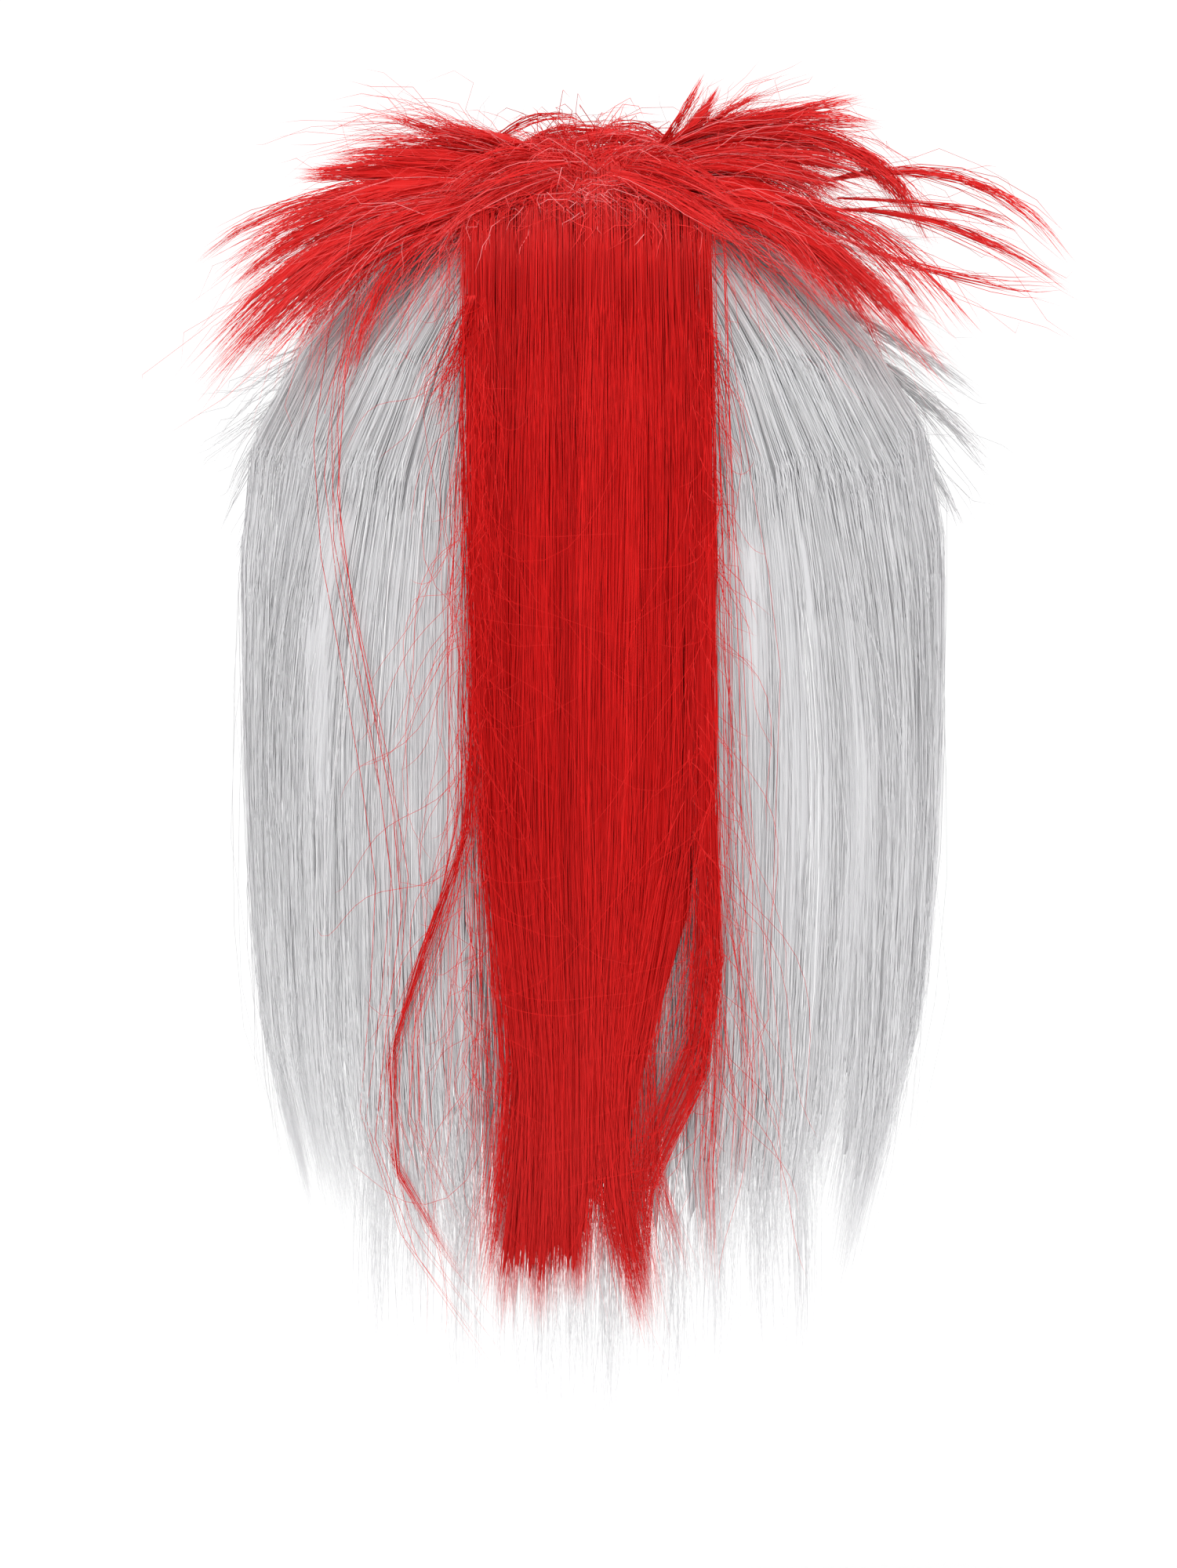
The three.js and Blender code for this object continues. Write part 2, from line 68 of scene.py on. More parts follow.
# The camera, which looks at the wig from behind and a little above
DISTANCE = 1400
ELEVATION = math.radians(5)
AIM_HEIGHT = -160
LENS = 120
SENSOR = 36
FLOOR_DEPTH = 410

# The soft light: of the room, and of two square lamps whose places and sizes are in metres
ROOM_LIGHT = 1.06
LAMP_SIZE = 1.2
LAMPS = (("key", (0.9, 1.5, 1.3), 9), ("fill", (-1.2, 1.2, 0.5), 4))

# Radii of strands: of long hair, of the spiky crown, of fine stray hair and of single loose hairs
STRAND = 0.1
WIRY = 0.125
FINE = 0.07
LOOSE_HAIR = 0.065
SOFTNESS = 0.92  # how far a strand is shaded like the whole coat of hair, and not like a wire of its own
FRIZZ_WAVES = (0.7, 1.6, 3.1)
ROOT_END = 0.15  # where the colour of the root has faded out, as a share of a strand

HEART = np.array([0, 0, -WIDEST], float)
COAT_SEAT = CAP_WALL + 0.6  # the undercoats start just off the cloth
THINNEST_COAT = 0.3
PARTING = 160  # the turn from which the curtains are combed outwards
CURTAIN_REACH = 78  # how far across the loose hairs can come
STRIPE_RISE = (-14, 48)  # the depths below its root between which the stripe rises to its full lift
LOCK_FLATNESS = 0.4
LOCK_FULL = 60  # a lock with fewer strands isn't split, and one of the side hair stays loose
FLARE_WIDTH = 10  # the narrower locks at the sides flare out, and a near-white shade paints the light they catch
FLARE_PAINTED_LIGHT = 0.94


def random_for(name):
    """The same random numbers for a piece in every run."""
    return np.random.default_rng(zlib.crc32(name.encode()))


def smooth(value, low, high):
    share = np.clip((value - low) / (high - low), 0, 1)
    return share * share * (3 - 2 * share)


def unit(vectors):
    return vectors / np.maximum(np.linalg.norm(vectors, axis=-1, keepdims=True), 1e-9)


def shares(count, steps, power=1):
    """How far along its strand each step lies, for a number of strands."""
    return np.linspace(0, 1, steps)[None, :] ** power * np.ones((count, 1))


# The form of the head and of the hair that hangs from it


def girth(depth, taper, drop):
    """The girth at a depth, as a share of the girth at the widest level."""
    above = 1 - np.clip(depth, 0, WIDEST) / WIDEST
    below = np.maximum(depth - WIDEST, 0) / (drop - WIDEST)
    return np.where(depth < WIDEST, np.sqrt(1 - above * above), 1 - taper * below * below)


def shell(turn, depth, lift, taper=NAPE_TAPER, drop=NAPE_DEPTH):
    """A point at lift outside the head. turn is in degrees from the face round to the wearer's left."""
    turn, depth, lift = np.broadcast_arrays(np.asarray(turn, float), depth, lift)
    angle = np.radians(turn)
    length = np.where(np.cos(angle) > 0, HEAD_FRONT, HEAD_BACK)
    share = girth(depth, taper, drop)
    return np.stack(
        [
            np.sin(angle) * (HALF_BREADTH + lift) * share,
            -np.cos(angle) * (length + lift) * share,
            lift * np.clip(1 - depth / WIDEST, 0, 1) - depth,
        ],
        axis=-1,
    )


def hanging(turn, depth, lift):
    return shell(turn, depth, lift, HANG_TAPER, HANG_DROP)


def behind(across, depth, lift):
    """A point of the hanging hair behind the head, from how far it lies across to the wearer's left."""
    across, depth, lift = np.broadcast_arrays(np.asarray(across, float), depth, lift)
    half = (HALF_BREADTH + lift) * girth(depth, HANG_TAPER, HANG_DROP)
    turn = 180 - np.degrees(np.arcsin(np.clip(across / np.maximum(half, 1), -1, 1)))
    return hanging(turn, depth, lift)


def over_crown(across, back, lift):
    """A point over the crown at lift outside the head, from where it lies in plan."""
    length = np.where(np.asarray(back) < 0, HEAD_FRONT, HEAD_BACK)
    share = np.clip(np.hypot(across / HALF_BREADTH, back / length), 0, 1)
    height = lift - WIDEST * (1 - np.sqrt(1 - share * share))
    return np.stack(np.broadcast_arrays(across, back, height), axis=-1).astype(float)


def as_seen(x, z, y):
    """Where a point lies that shows at x and z in the plane of the origin, and is y nearer the camera."""
    nearer = (DISTANCE - y) / DISTANCE
    return np.array([x * nearer, y, AIM_HEIGHT + (z - AIM_HEIGHT) * nearer + y * math.tan(ELEVATION)])


def outward(points):
    """The way out of the head at each point."""
    above = np.maximum(points[..., 2] + WIDEST, 0)
    return unit(np.stack([points[..., 0], points[..., 1], above], axis=-1))


# Meshes


def make_mesh(name, vertices, quads, triangles, uv, material, normals=None):
    """An object from arrays. uv has a row for each corner, of the quads first and then of the triangles."""
    mesh = bpy.data.meshes.new(name)
    mesh.vertices.add(len(vertices))
    mesh.vertices.foreach_set("co", (np.asarray(vertices) * MM).astype(np.float32).ravel())
    corners = np.concatenate([quads.ravel(), triangles.ravel()]).astype(np.int32)
    starts = np.concatenate(
        [np.arange(len(quads)) * 4, quads.size + np.arange(len(triangles)) * 3]
    ).astype(np.int32)
    mesh.loops.add(len(corners))
    mesh.loops.foreach_set("vertex_index", corners)
    mesh.polygons.add(len(starts))
    mesh.polygons.foreach_set("loop_start", starts)
    mesh.polygons.foreach_set("use_smooth", np.ones(len(starts), bool))
    mesh.uv_layers.new(name="OFBake").data.foreach_set("uv", uv[:, :2].astype(np.float32).ravel())
    mesh.materials.append(material)
    mesh.update(calc_edges=True)
    if normals is not None:
        mesh.normals_split_custom_set(normals)
    obj = bpy.data.objects.new(name, mesh)
    bpy.context.scene.collection.objects.link(obj)
    return obj


Strands = namedtuple("Strands", "paths radius shade")


def shaded(rng, paths, radius, shades=(0.35, 0.65), shade=None):
    """Strands of a bundle that share a shade, one of their own or a random one, and differ a little in it."""
    base = rng.uniform(*shades) if shade is None else shade
    tone = np.clip(base + rng.normal(0, 0.2, len(paths)), 0, 1)
    return Strands(paths, radius * rng.uniform(0.75, 1.2, len(paths)), tone)


def strand_mesh(name, bundles, material):
    """Joins bundles of strands into one mesh of closed three-sided tubes that taper to a point.

    The faces of a strand are shaded partly like the whole coat of hair, from outside and from inside alike.
    """
    sides = 3
    angles = 2 * math.pi * np.arange(sides) / sides
    vertices, quads, triangles = [], [], []
    quad_uv, triangle_uv, quad_normals, triangle_normals = [], [], [], []
    rng = random_for(name + " turn")
    first = 0
    for paths, radius, shade in bundles:
        count, steps, _ = paths.shape
        tangent = unit(np.gradient(paths, axis=1))
        chord = unit(paths[:, -1] - paths[:, 0])
        spin = rng.normal(size=(count, 3))
        spin -= np.sum(spin * chord, axis=1, keepdims=True) * chord
        across = unit(np.cross(tangent, unit(spin)[:, None, :]))
        out = np.cross(tangent, across)
        along = np.linspace(0, 1, steps)
        size = radius[:, None] * (1 - 0.5 * along**3)[None, :]

        def around(turned):
            a, b = np.cos(turned)[None, None, :, None], np.sin(turned)[None, None, :, None]
            return across[:, :, None] * a + out[:, :, None] * b

        offsets = around(angles)
        rings = (paths[:, :, None] + offsets * size[:, :, None, None])[:, :-1]
        body = rings.reshape(count, (steps - 1) * sides, 3)
        vertices.append(np.concatenate([body, paths[:, -1:, :]], axis=1).reshape(-1, 3))

        away = outward(paths)[:, :, None]
        facing = around(angles + math.pi / sides)
        lean = np.clip(3 * np.sum(facing * away, axis=-1, keepdims=True), -1, 1) * away
        near = unit(0.5 * offsets + 0.5 * facing + SOFTNESS * lean)
        far = unit(0.5 * np.roll(offsets, -1, axis=2) + 0.5 * facing + SOFTNESS * lean)
        corners = np.stack([near[:, :-2], far[:, :-2], far[:, 1:-1], near[:, 1:-1]], axis=3)
        quad_normals.append(corners.reshape(-1, 3))
        tip_corners = np.stack([near[:, -2], far[:, -2], facing[:, -2]], axis=2).reshape(count, -1, 3)
        root_corners = np.repeat(-tangent[:, :1], 3, axis=1)
        triangle_normals.append(np.concatenate([tip_corners, root_corners], axis=1).reshape(-1, 3))

        per_strand = (steps - 1) * sides + 1
        ring = np.arange(steps - 2)[:, None] * sides
        side = np.arange(sides)[None, :]
        after = (side + 1) % sides
        quad = np.stack([ring + side, ring + after, ring + after + sides, ring + side + sides], axis=-1)
        quad = quad.reshape(-1, 4)
        last = (steps - 2) * sides
        tip = np.stack([last + side[0], last + after[0], np.full(sides, per_strand - 1)], axis=-1)
        triangle = np.concatenate([tip, [[2, 1, 0]]])
        starts = first + np.arange(count)[:, None, None] * per_strand
        quads.append((quad[None] + starts).reshape(-1, 4))
        triangles.append((triangle[None] + starts).reshape(-1, 3))
        vertex_along = np.append(np.repeat(along[:-1], sides), 1.0)
        for faces, found in ((quad, quad_uv), (triangle, triangle_uv)):
            v = np.broadcast_to(vertex_along[faces.ravel()], (count, faces.size))
            u = np.broadcast_to(shade[:, None], v.shape)
            found.append(np.stack([u, v], axis=-1).reshape(-1, 2))
        first += count * per_strand
    return make_mesh(
        name,
        np.concatenate(vertices),
        np.concatenate(quads),
        np.concatenate(triangles),
        np.clip(np.concatenate(quad_uv + triangle_uv), 0.002, 0.998),
        material,
        np.concatenate(quad_normals + triangle_normals).astype(np.float32),
    )


def grid_mesh(name, outer, inner, material):
    """A closed sheet between two grids of points, each with a row for each level from the root down."""
    rows, columns, _ = outer.shape
    ring = np.concatenate([outer, inner[:, ::-1]], axis=1)
    count = 2 * columns
    level = np.arange(rows - 1)[:, None] * count
    spot = np.arange(count)[None, :]
    after = (spot + 1) % count
    quads = np.stack([level + after, level + spot, level + spot + count, level + after + count], axis=-1)
    end = np.arange(columns - 1)
    first_cap = np.stack([end, end + 1, count - 2 - end, count - 1 - end], axis=-1)
    last = (rows - 1) * count
    last_cap = last + first_cap[:, ::-1]
    quads = np.concatenate([quads.reshape(-1, 4), first_cap, last_cap])
    u = np.concatenate([np.linspace(0.01, 0.48, columns), np.linspace(0.99, 0.52, columns)])
    uv = np.stack(np.broadcast_arrays(u[None, :], np.linspace(0, 1, rows)[:, None]), axis=-1).reshape(-1, 2)
    no_triangles = np.zeros((0, 3), int)
    return make_mesh(name, ring.reshape(-1, 3), quads, no_triangles, uv[quads.ravel()], material)


def join(name, objects):
    """Joins objects into the first, which takes the name."""
    bpy.ops.object.select_all(action="DESELECT")
    for obj in objects:
        obj.select_set(True)
    bpy.context.view_layer.objects.active = objects[0]
    if len(objects) > 1:
        bpy.ops.object.join()
    objects[0].name = name
    objects[0].data.name = name
    return objects[0]


# Materials


def new_material(name):
    """A material with its nodes, links, shader and the map that its patterns follow."""
    material = bpy.data.materials.new(name)
    material.use_nodes = True
    nodes = material.node_tree.nodes
    uv = nodes.new("ShaderNodeUVMap")
    uv.uv_map = "OFBake"
    return material, nodes, material.node_tree.links, nodes["Principled BSDF"], uv.outputs["UV"]


def colour_ramp(nodes, stops):
    ramp = nodes.new("ShaderNodeValToRGB")
    elements = ramp.color_ramp.elements
    while len(elements) < len(stops):
        elements.new(0.5)
    for element, (place, colour) in zip(elements, stops):
        element.position = place
        element.color = (*colour, 1)
    return ramp


def colour_and_relief(nodes, links, shader, height, shades, strength, distance):
    """Gives the height of a pattern its colour and its relief."""
    ramp = colour_ramp(nodes, shades)
    relief = nodes.new("ShaderNodeBump")
    relief.inputs["Strength"].default_value = strength
    relief.inputs["Distance"].default_value = distance
    links.new(height, ramp.inputs["Fac"])
    links.new(height, relief.inputs["Height"])
    links.new(ramp.outputs["Color"], shader.inputs["Base Color"])
    links.new(relief.outputs["Normal"], shader.inputs["Normal"])


def fade_to(nodes, links, along, base, colour, start, end, share=1.0):
    """Blends a share of a colour into the base between two places along a strand."""
    reach = nodes.new("ShaderNodeMapRange")
    reach.interpolation_type = "SMOOTHSTEP"
    reach.inputs["From Min"].default_value = start
    reach.inputs["From Max"].default_value = end
    reach.inputs["To Max"].default_value = share
    blend = nodes.new("ShaderNodeMix")
    blend.data_type = "RGBA"
    blend.inputs["B"].default_value = (*colour, 1)
    links.new(along, reach.inputs["Value"])
    links.new(reach.outputs["Result"], blend.inputs["Factor"])
    links.new(base, blend.inputs["A"])
    return blend.outputs["Result"]


def hair_finish(shader, roughness):
    shader.inputs["Roughness"].default_value = roughness
    shader.inputs["Specular IOR Level"].default_value = 0.12


def strand_material(name, shades, tip_colour, tip_share, roughness, root_colour=None):
    """Each strand has its own shade, by its place across the UV. Its tip grows paler, and so does a root."""
    material, nodes, links, shader, uv = new_material(name)
    split = nodes.new("ShaderNodeSeparateXYZ")
    ramp = colour_ramp(nodes, shades)
    links.new(uv, split.inputs["Vector"])
    links.new(split.outputs["X"], ramp.inputs["Fac"])
    along = split.outputs["Y"]
    colour = fade_to(nodes, links, along, ramp.outputs["Color"], tip_colour, 0.55, 1.0, tip_share)
    if root_colour:
        colour = fade_to(nodes, links, along, colour, root_colour, ROOT_END, 0.0)
    links.new(colour, shader.inputs["Base Color"])
    hair_finish(shader, roughness)
    return material


def coat_material(name, shades, strength=0.35, roughness=0.55, strands_across=150, strands_along=4):
    """Combed undercoat: fine streaks run down the hair, in colour and in relief."""
    material, nodes, links, shader, uv = new_material(name)
    stretch = nodes.new("ShaderNodeMapping")
    stretch.inputs["Scale"].default_value = (strands_across, strands_along, 1)
    streaks = nodes.new("ShaderNodeTexNoise")
    streaks.inputs["Scale"].default_value = 1.0
    streaks.inputs["Detail"].default_value = 4.0
    streaks.inputs["Roughness"].default_value = 0.7
    links.new(uv, stretch.inputs["Vector"])
    links.new(stretch.outputs["Vector"], streaks.inputs["Vector"])
    colour_and_relief(nodes, links, shader, streaks.outputs["Fac"], shades, strength, 0.0003)
    hair_finish(shader, roughness)
    return material


def cloth_material():
    """Knitted backing cloth: fine ribs one way and rows of loops the other."""
    material, nodes, links, shader, uv = new_material("cap_knit")
    heights = []
    for direction, scale in (("X", 150.0), ("Y", 60.0)):
        ribs = nodes.new("ShaderNodeTexWave")
        ribs.bands_direction = direction
        ribs.inputs["Scale"].default_value = scale
        ribs.inputs["Distortion"].default_value = 1.2
        ribs.inputs["Detail"].default_value = 2.0
        links.new(uv, ribs.inputs["Vector"])
        heights.append(ribs.outputs["Fac"])
    loops = nodes.new("ShaderNodeMath")
    loops.operation = "MULTIPLY"
    links.new(heights[0], loops.inputs[0])
    links.new(heights[1], loops.inputs[1])
    colour_and_relief(nodes, links, shader, loops.outputs["Value"], CLOTH_SHADES, 0.6, 0.0004)
    shader.inputs["Roughness"].default_value = 0.9
    shader.inputs["Sheen Weight"].default_value = 0.3
    return material


# The top stop, a pale pink, is painted highlight on the fine crown hair whose shade reaches it.
RED_SHADES = [
    (0.0, (0.66, 0.013, 0.012)),
    (0.5, (0.78, 0.021, 0.02)),
    (0.9, (0.87, 0.05, 0.05)),
    (1.0, (0.94, 0.28, 0.29)),
]
# The red undercoat is a little darker than the strands on it: painted shade of the deeper hair.
RED_COAT = [(0.3, (0.64, 0.011, 0.01)), (0.5, (0.74, 0.016, 0.015)), (0.7, (0.84, 0.03, 0.029))]
STRIPE_SHADES = [(0.0, (0.51, 0.003, 0.003)), (0.5, (0.61, 0.004, 0.004)), (1.0, (0.7, 0.009, 0.008))]
# The stripe's undercoat is a little darker than its strands: painted shade of the deeper hair.
STRIPE_COAT = [(0.3, (0.5, 0.003, 0.002)), (0.5, (0.57, 0.004, 0.003)), (0.7, (0.65, 0.006, 0.005))]
# The top stop, near white, is painted highlight: the highlight strands take it, and the flaring side locks lean
# towards it.
WHITE_SHADES = [(0.0, (0.69, 0.687, 0.7)), (0.9, (0.73, 0.727, 0.737)), (1.0, (0.97, 0.97, 0.97))]
# The white undercoat is darker than the white strands: painted shade of the deeper hair.
WHITE_COAT = [(0.3, (0.635, 0.632, 0.645)), (0.5, (0.645, 0.642, 0.655)), (0.7, (0.657, 0.654, 0.667))]

CLOTH_SHADES = [(0.0, (0.52, 0.50, 0.48)), (1.0, (0.78, 0.76, 0.73))]
RED_TIP = (0.95, 0.07, 0.07)
WHITE_TIP = (0.95, 0.95, 0.96)
STRIPE_TIP = (0.8, 0.03, 0.028)
STRIPE_ROOT = (0.82, 0.03, 0.028)

red_strand = strand_material("red_strand", RED_SHADES, RED_TIP, 0.45, 0.5)
white_strand = strand_material("white_strand", WHITE_SHADES, WHITE_TIP, 0.42, 0.45)
stripe_strand = strand_material("stripe_strand", STRIPE_SHADES, STRIPE_TIP, 0.5, 0.5, STRIPE_ROOT)
red_coat = coat_material("red_undercoat", RED_COAT)
stripe_coat = coat_material("stripe_undercoat", STRIPE_COAT)
white_coat = coat_material("white_undercoat", WHITE_COAT, strength=0.12)

Look = namedtuple("Look", "strand coat slot")
red_look = Look(red_strand, red_coat, "red_hair")
white_look = Look(white_strand, white_coat, "white_hair")


# Hair in short locks

Lock = namedtuple("Lock", "root bend tip width count")


def curve_points(lock, along):
    """Points of a lock's centre line, which passes by bend halfway, and the direction there."""
    root, bend, tip = (np.asarray(p, float) for p in (lock.root, lock.bend, lock.tip))
    control = 2 * bend - (root + tip) / 2
    s = np.asarray(along)[..., None]
    points = (1 - s) ** 2 * root + 2 * s * (1 - s) * control + s**2 * tip
    ahead = unit(2 * (1 - s) * (control - root) + 2 * s * (tip - control))
    return points, ahead


def lock_frame(points, ahead):
    across = unit(np.cross(ahead, points - HEART))
    return across, np.cross(across, ahead)


def lock_width(along):
    """How the width of a lock goes from its root to its tip, as a share of its fullest width."""
    return (0.5 + 0.5 * smooth(along, 0, 0.35)) * (1 - 0.9 * smooth(along, 0.35, 1.0))


def feathered(rng, locks, parts=3, spread=0.35):
    """Splits locks into a main one and narrower ones that leave it towards the tip."""
    result = []
    for lock in locks:
        if lock.count < LOCK_FULL:
            result.append(lock)
            continue
        result.append(lock._replace(count=int(lock.count * 0.4), width=lock.width * 0.8))
        root, bend, tip = (np.asarray(p, float) for p in (lock.root, lock.bend, lock.tip))
        for _ in range(parts):
            aside = rng.normal(0, lock.width * spread, 3)
            reach = rng.uniform(0.78, 1.03)
            result.append(
                Lock(
                    root + aside * 0.35,
                    root + (bend - root) * reach + aside * 0.7,
                    root + (tip - root) * reach + aside,
                    lock.width * 0.5,
                    int(lock.count * 0.6 / parts),
                )
            )
    return result


def frizz(rng, paths, along, size, lifting=0.3):
    """Sways each strand softly, more towards its tip, and less away from the head than along it."""
    count = len(paths)
    sway = np.zeros(paths.shape)
    for wave in FRIZZ_WAVES:
        phase = rng.uniform(0, 2 * math.pi, (count, 1, 3))
        reach = rng.normal(size=(count, 1, 3)) / wave
        sway += reach * np.sin(2 * math.pi * wave * along[..., None] + phase)
    sway = (sway - sway[:, :1]) * size * along[..., None] ** 0.8
    away = outward(paths)
    return paths + sway - away * np.sum(sway * away, axis=-1, keepdims=True) * (1 - lifting)


def short_strands(rng, lock, radius=WIRY, ragged=0.3, stray=1.0, shade=None, fan=False, steps=7):
    """The strands of a lock, which start apart and draw together towards its tip, or fan out."""
    count = lock.count
    reach = 1 - ragged * rng.random(count) ** 1.5
    along = np.linspace(0, 1, steps)[None, :] * reach[:, None]
    points, ahead = curve_points(lock, along)
    across, out = lock_frame(points, ahead)
    spot = np.sqrt(rng.random(count))
    angle = rng.uniform(0, 2 * math.pi, count)
    width = (0.4 + along if fan else lock_width(along)) * lock.width / 2
    sideways = (spot * np.cos(angle))[:, None] * width
    raised = (spot * np.sin(angle))[:, None] * width * LOCK_FLATNESS
    paths = points + across * sideways[..., None] + out * raised[..., None]
    length = np.linalg.norm(np.asarray(lock.tip, float) - np.asarray(lock.root, float))
    paths = frizz(rng, paths, shares(count, steps), 0.016 * length * stray, lifting=0.6)
    return shaded(rng, paths, radius, shade=shade)


def fuzzy_strands(rng, locks, shade=None):
    return [short_strands(rng, lock, FINE, ragged=0.5, stray=4, shade=shade, fan=True) for lock in locks]


def lock_body(lock, share=0.8, flatness=0.34, sides=8, steps=8):
    """The opaque middle of a lock, as rings for a closed mesh: its width, in share, ends before its tip."""
    along = np.linspace(0, 0.93, steps)
    points, ahead = curve_points(lock, along)
    across, out = lock_frame(points, ahead)
    width = lock_width(along) * lock.width / 2 * share
    width = width * (1 - 0.9 * smooth(along, 0.6, 0.93))
    half = sides // 2
    top = np.linspace(0.02, 0.98, half) * math.pi
    layers = []
    sideways = across[:, None] * (np.cos(top)[None, :] * width[:, None])[..., None]
    raised = out[:, None] * (np.sin(top)[None, :] * width[:, None] * flatness)[..., None]
    for sign in (1, -1):
        layers.append(points[:, None] + sideways + sign * raised)
    return layers


def lock_bodies(name, locks, material, **look):
    parts = []
    for index, lock in enumerate(locks):
        outer, inner = lock_body(lock, **look)
        parts.append(grid_mesh(f"{name}_{index}", outer, inner, material))
    return parts


def finish_piece(node, objects, ending="_hair"):
    """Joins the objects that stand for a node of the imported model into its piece."""
    piece = join(node + ending, objects)
    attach(piece, "root")
    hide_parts(node)
    return piece


# The red hair over the crown. Places are as seen from behind, with the wearer's left at positive x. root_back
# and tip_back are how far the root and the tip lie behind the crown.
Wisp = namedtuple("Wisp", "root_x root_z bend_x bend_z tip_x tip_z root_back tip_back width count")

WINGS = {
    "left": [
        Wisp(22, -7, 62, -17, 104, -56, 42, 52, 11, 178),
        Wisp(21, -6, 66, -15, 103, -45, 40, 46, 12, 178),
        Wisp(20, -4, 62, -8, 95, -28, 36, 40, 14, 195),
        Wisp(20, -1, 58, -2, 87, -15, 30, 34, 15, 195),
        Wisp(20, 2, 52, 3, 77, 2, 26, 28, 14, 186),
        Wisp(19, 4, 44, 8, 69, 7, 20, 22, 11, 110),
        Wisp(14, 6, 36, 12, 54, 19, 16, 20, 8, 60),
        Wisp(12, 8, 30, 13, 44, 13, 12, 16, 11, 93),
        Wisp(26, 5, 8, 10, -8, 3, 4, 20, 15, 75),
        Wisp(20, 8, 2, 14, -14, 9, -14, -8, 12, 60),
        Wisp(14, 5, 27, 2, 44, -10, 40, 54, 15, 60),
        Wisp(8, 2, 26, -5, 42, -16, 48, 62, 14, 60),
        Wisp(26, -6, 46, -10, 66, -24, 46, 52, 9, 93),
        Wisp(30, -12, 54, -26, 67, -71, 52, 62, 5, 30),
        Wisp(30, -10, 58, -18, 88, -47, 50, 56, 6, 60),
    ],
    "right": [
        Wisp(-24, 6, -52, 7, -80, 0, 24, 28, 13, 120),
        Wisp(-24, -5, -60, -15, -96, -52, 44, 52, 9, 161),
        Wisp(-24, -5, -56, -11, -88, -40, 42, 48, 8, 102),
        Wisp(-40, -3, -76, -13, -104, -42, 40, 46, 4, 60),
        Wisp(-24, 0, -48, -3, -70, -14, 36, 40, 14, 186),
        Wisp(-24, 4, -48, 4, -70, -3, 30, 34, 14, 186),
        Wisp(-24, 8, -66, 11, -91, -17, 24, 28, 7, 144),
        Wisp(-22, 8, -48, 11, -70, 6, 20, 22, 12, 127),
        Wisp(-22, 9, -50, 15, -76, 16, 18, 22, 6, 76),
        Wisp(-22, 10, -48, 17, -73, 23, 14, 18, 4, 59),
        Wisp(-20, 8, -28, 16, -35, 26, 12, 14, 8, 110),
        Wisp(-24, 8, -36, 15, -49, 20, 10, 12, 9, 102),
        Wisp(-30, -8, -52, -14, -68, -37, 50, 58, 8, 76),
        Wisp(-24, 6, -8, 12, 8, 7, 6, 16, 13, 70),
        Wisp(-18, 10, -4, 13, 10, 8, -24, -18, 12, 60),
        Wisp(-14, 5, -27, 2, -44, -10, 40, 54, 15, 60),
        Wisp(-8, 2, -26, -5, -42, -16, 48, 62, 14, 60),
        Wisp(-60, 0, -100, 1, -128, -20, 26, 30, 3, 30),
        Wisp(-66, -4, -98, -7, -115, -14, 27, 29, 2, 12),
        Wisp(-64, -7, -98, -12, -128, -29, 30, 32, 3, 30),
        Wisp(-66, -14, -98, -25, -127, -28, 32, 34, 2, 14),
    ],
}

# Fine red hair that hangs loosely over the white below the wings
LOOSE = {
    "left": [
        Wisp(28, -8, 42, -22, 56, -50, 50, 64, 26, 50),
        Wisp(30, -8, 40, -26, 46, -62, 56, 74, 22, 30),
        Wisp(44, -12, 60, -24, 70, -60, 46, 56, 22, 50),
        Wisp(28, -4, 60, -14, 88, -34, 42, 48, 26, 60),
        Wisp(20, 8, 48, 16, 72, 14, 18, 20, 26, 60),
    ],
    "right": [
        Wisp(-28, -8, -42, -20, -60, -46, 50, 64, 26, 45),
        Wisp(-34, -10, -54, -24, -74, -48, 50, 60, 26, 50),
        Wisp(-44, -8, -66, -16, -90, -40, 42, 48, 26, 60),
        Wisp(-28, 4, -56, 4, -84, -10, 30, 34, 26, 60),
        Wisp(-20, 8, -40, 18, -58, 22, 14, 16, 26, 60),
    ],
}

# The locks towards the front, which the photo doesn't show: how far behind the crown each starts, and its tip
Rank = namedtuple("Rank", "root_back tip_back tip_x tip_z width count")
FRONT_RANKS = [
    Rank(10, 12, 76, -40, 10, 58),
    Rank(6, 4, 70, -18, 9, 48),
    Rank(2, -4, 80, -50, 10, 58),
    Rank(-4, -8, 66, -8, 8, 40),
    Rank(-8, -14, 74, -34, 10, 58),
    Rank(-14, -22, 80, -56, 10, 58),
    Rank(-20, -26, 66, -20, 9, 48),
    Rank(-26, -36, 76, -46, 10, 58),
    Rank(-34, -44, 72, -62, 10, 54),
    Rank(-38, -54, 64, -34, 9, 48),
    Rank(-44, -64, 68, -58, 10, 50),
    Rank(-52, -72, 54, -48, 9, 44),
    Rank(-56, -84, 50, -66, 9, 44),
]


def wing_locks(side_name):
    return [placed(wisp, 4) for wisp in WINGS[side_name]]


def front_locks(side):
    locks = []
    for rank in FRONT_RANKS:
        root = over_crown(side * 14.0, float(rank.root_back), CAP_WALL + 3)
        tip = np.array([side * rank.tip_x, rank.tip_back, rank.tip_z], float)
        bend = (root + tip) / 2 + unit((root + tip) / 2 - HEART) * 12
        locks.append(Lock(root, bend, tip, rank.width, rank.count))
    return locks


def band_coat(name, side, material):
    """The dense pile over the crown at one side of the parting."""
    across = np.linspace(0.12, 31, 14) * side
    back = np.linspace(-66, 44, 34)
    grid_x, grid_y = np.meshgrid(across, back)
    rng = random_for(name)
    bumps = rng.normal(0, 0.7, grid_x.shape)
    outer = over_crown(grid_x, grid_y, CAP_WALL + 5.5 - 3.5 * smooth(grid_y, 24, 44) + bumps)
    inner = over_crown(grid_x, grid_y, np.full_like(grid_x, COAT_SEAT))
    return grid_mesh(name, outer, inner, material)


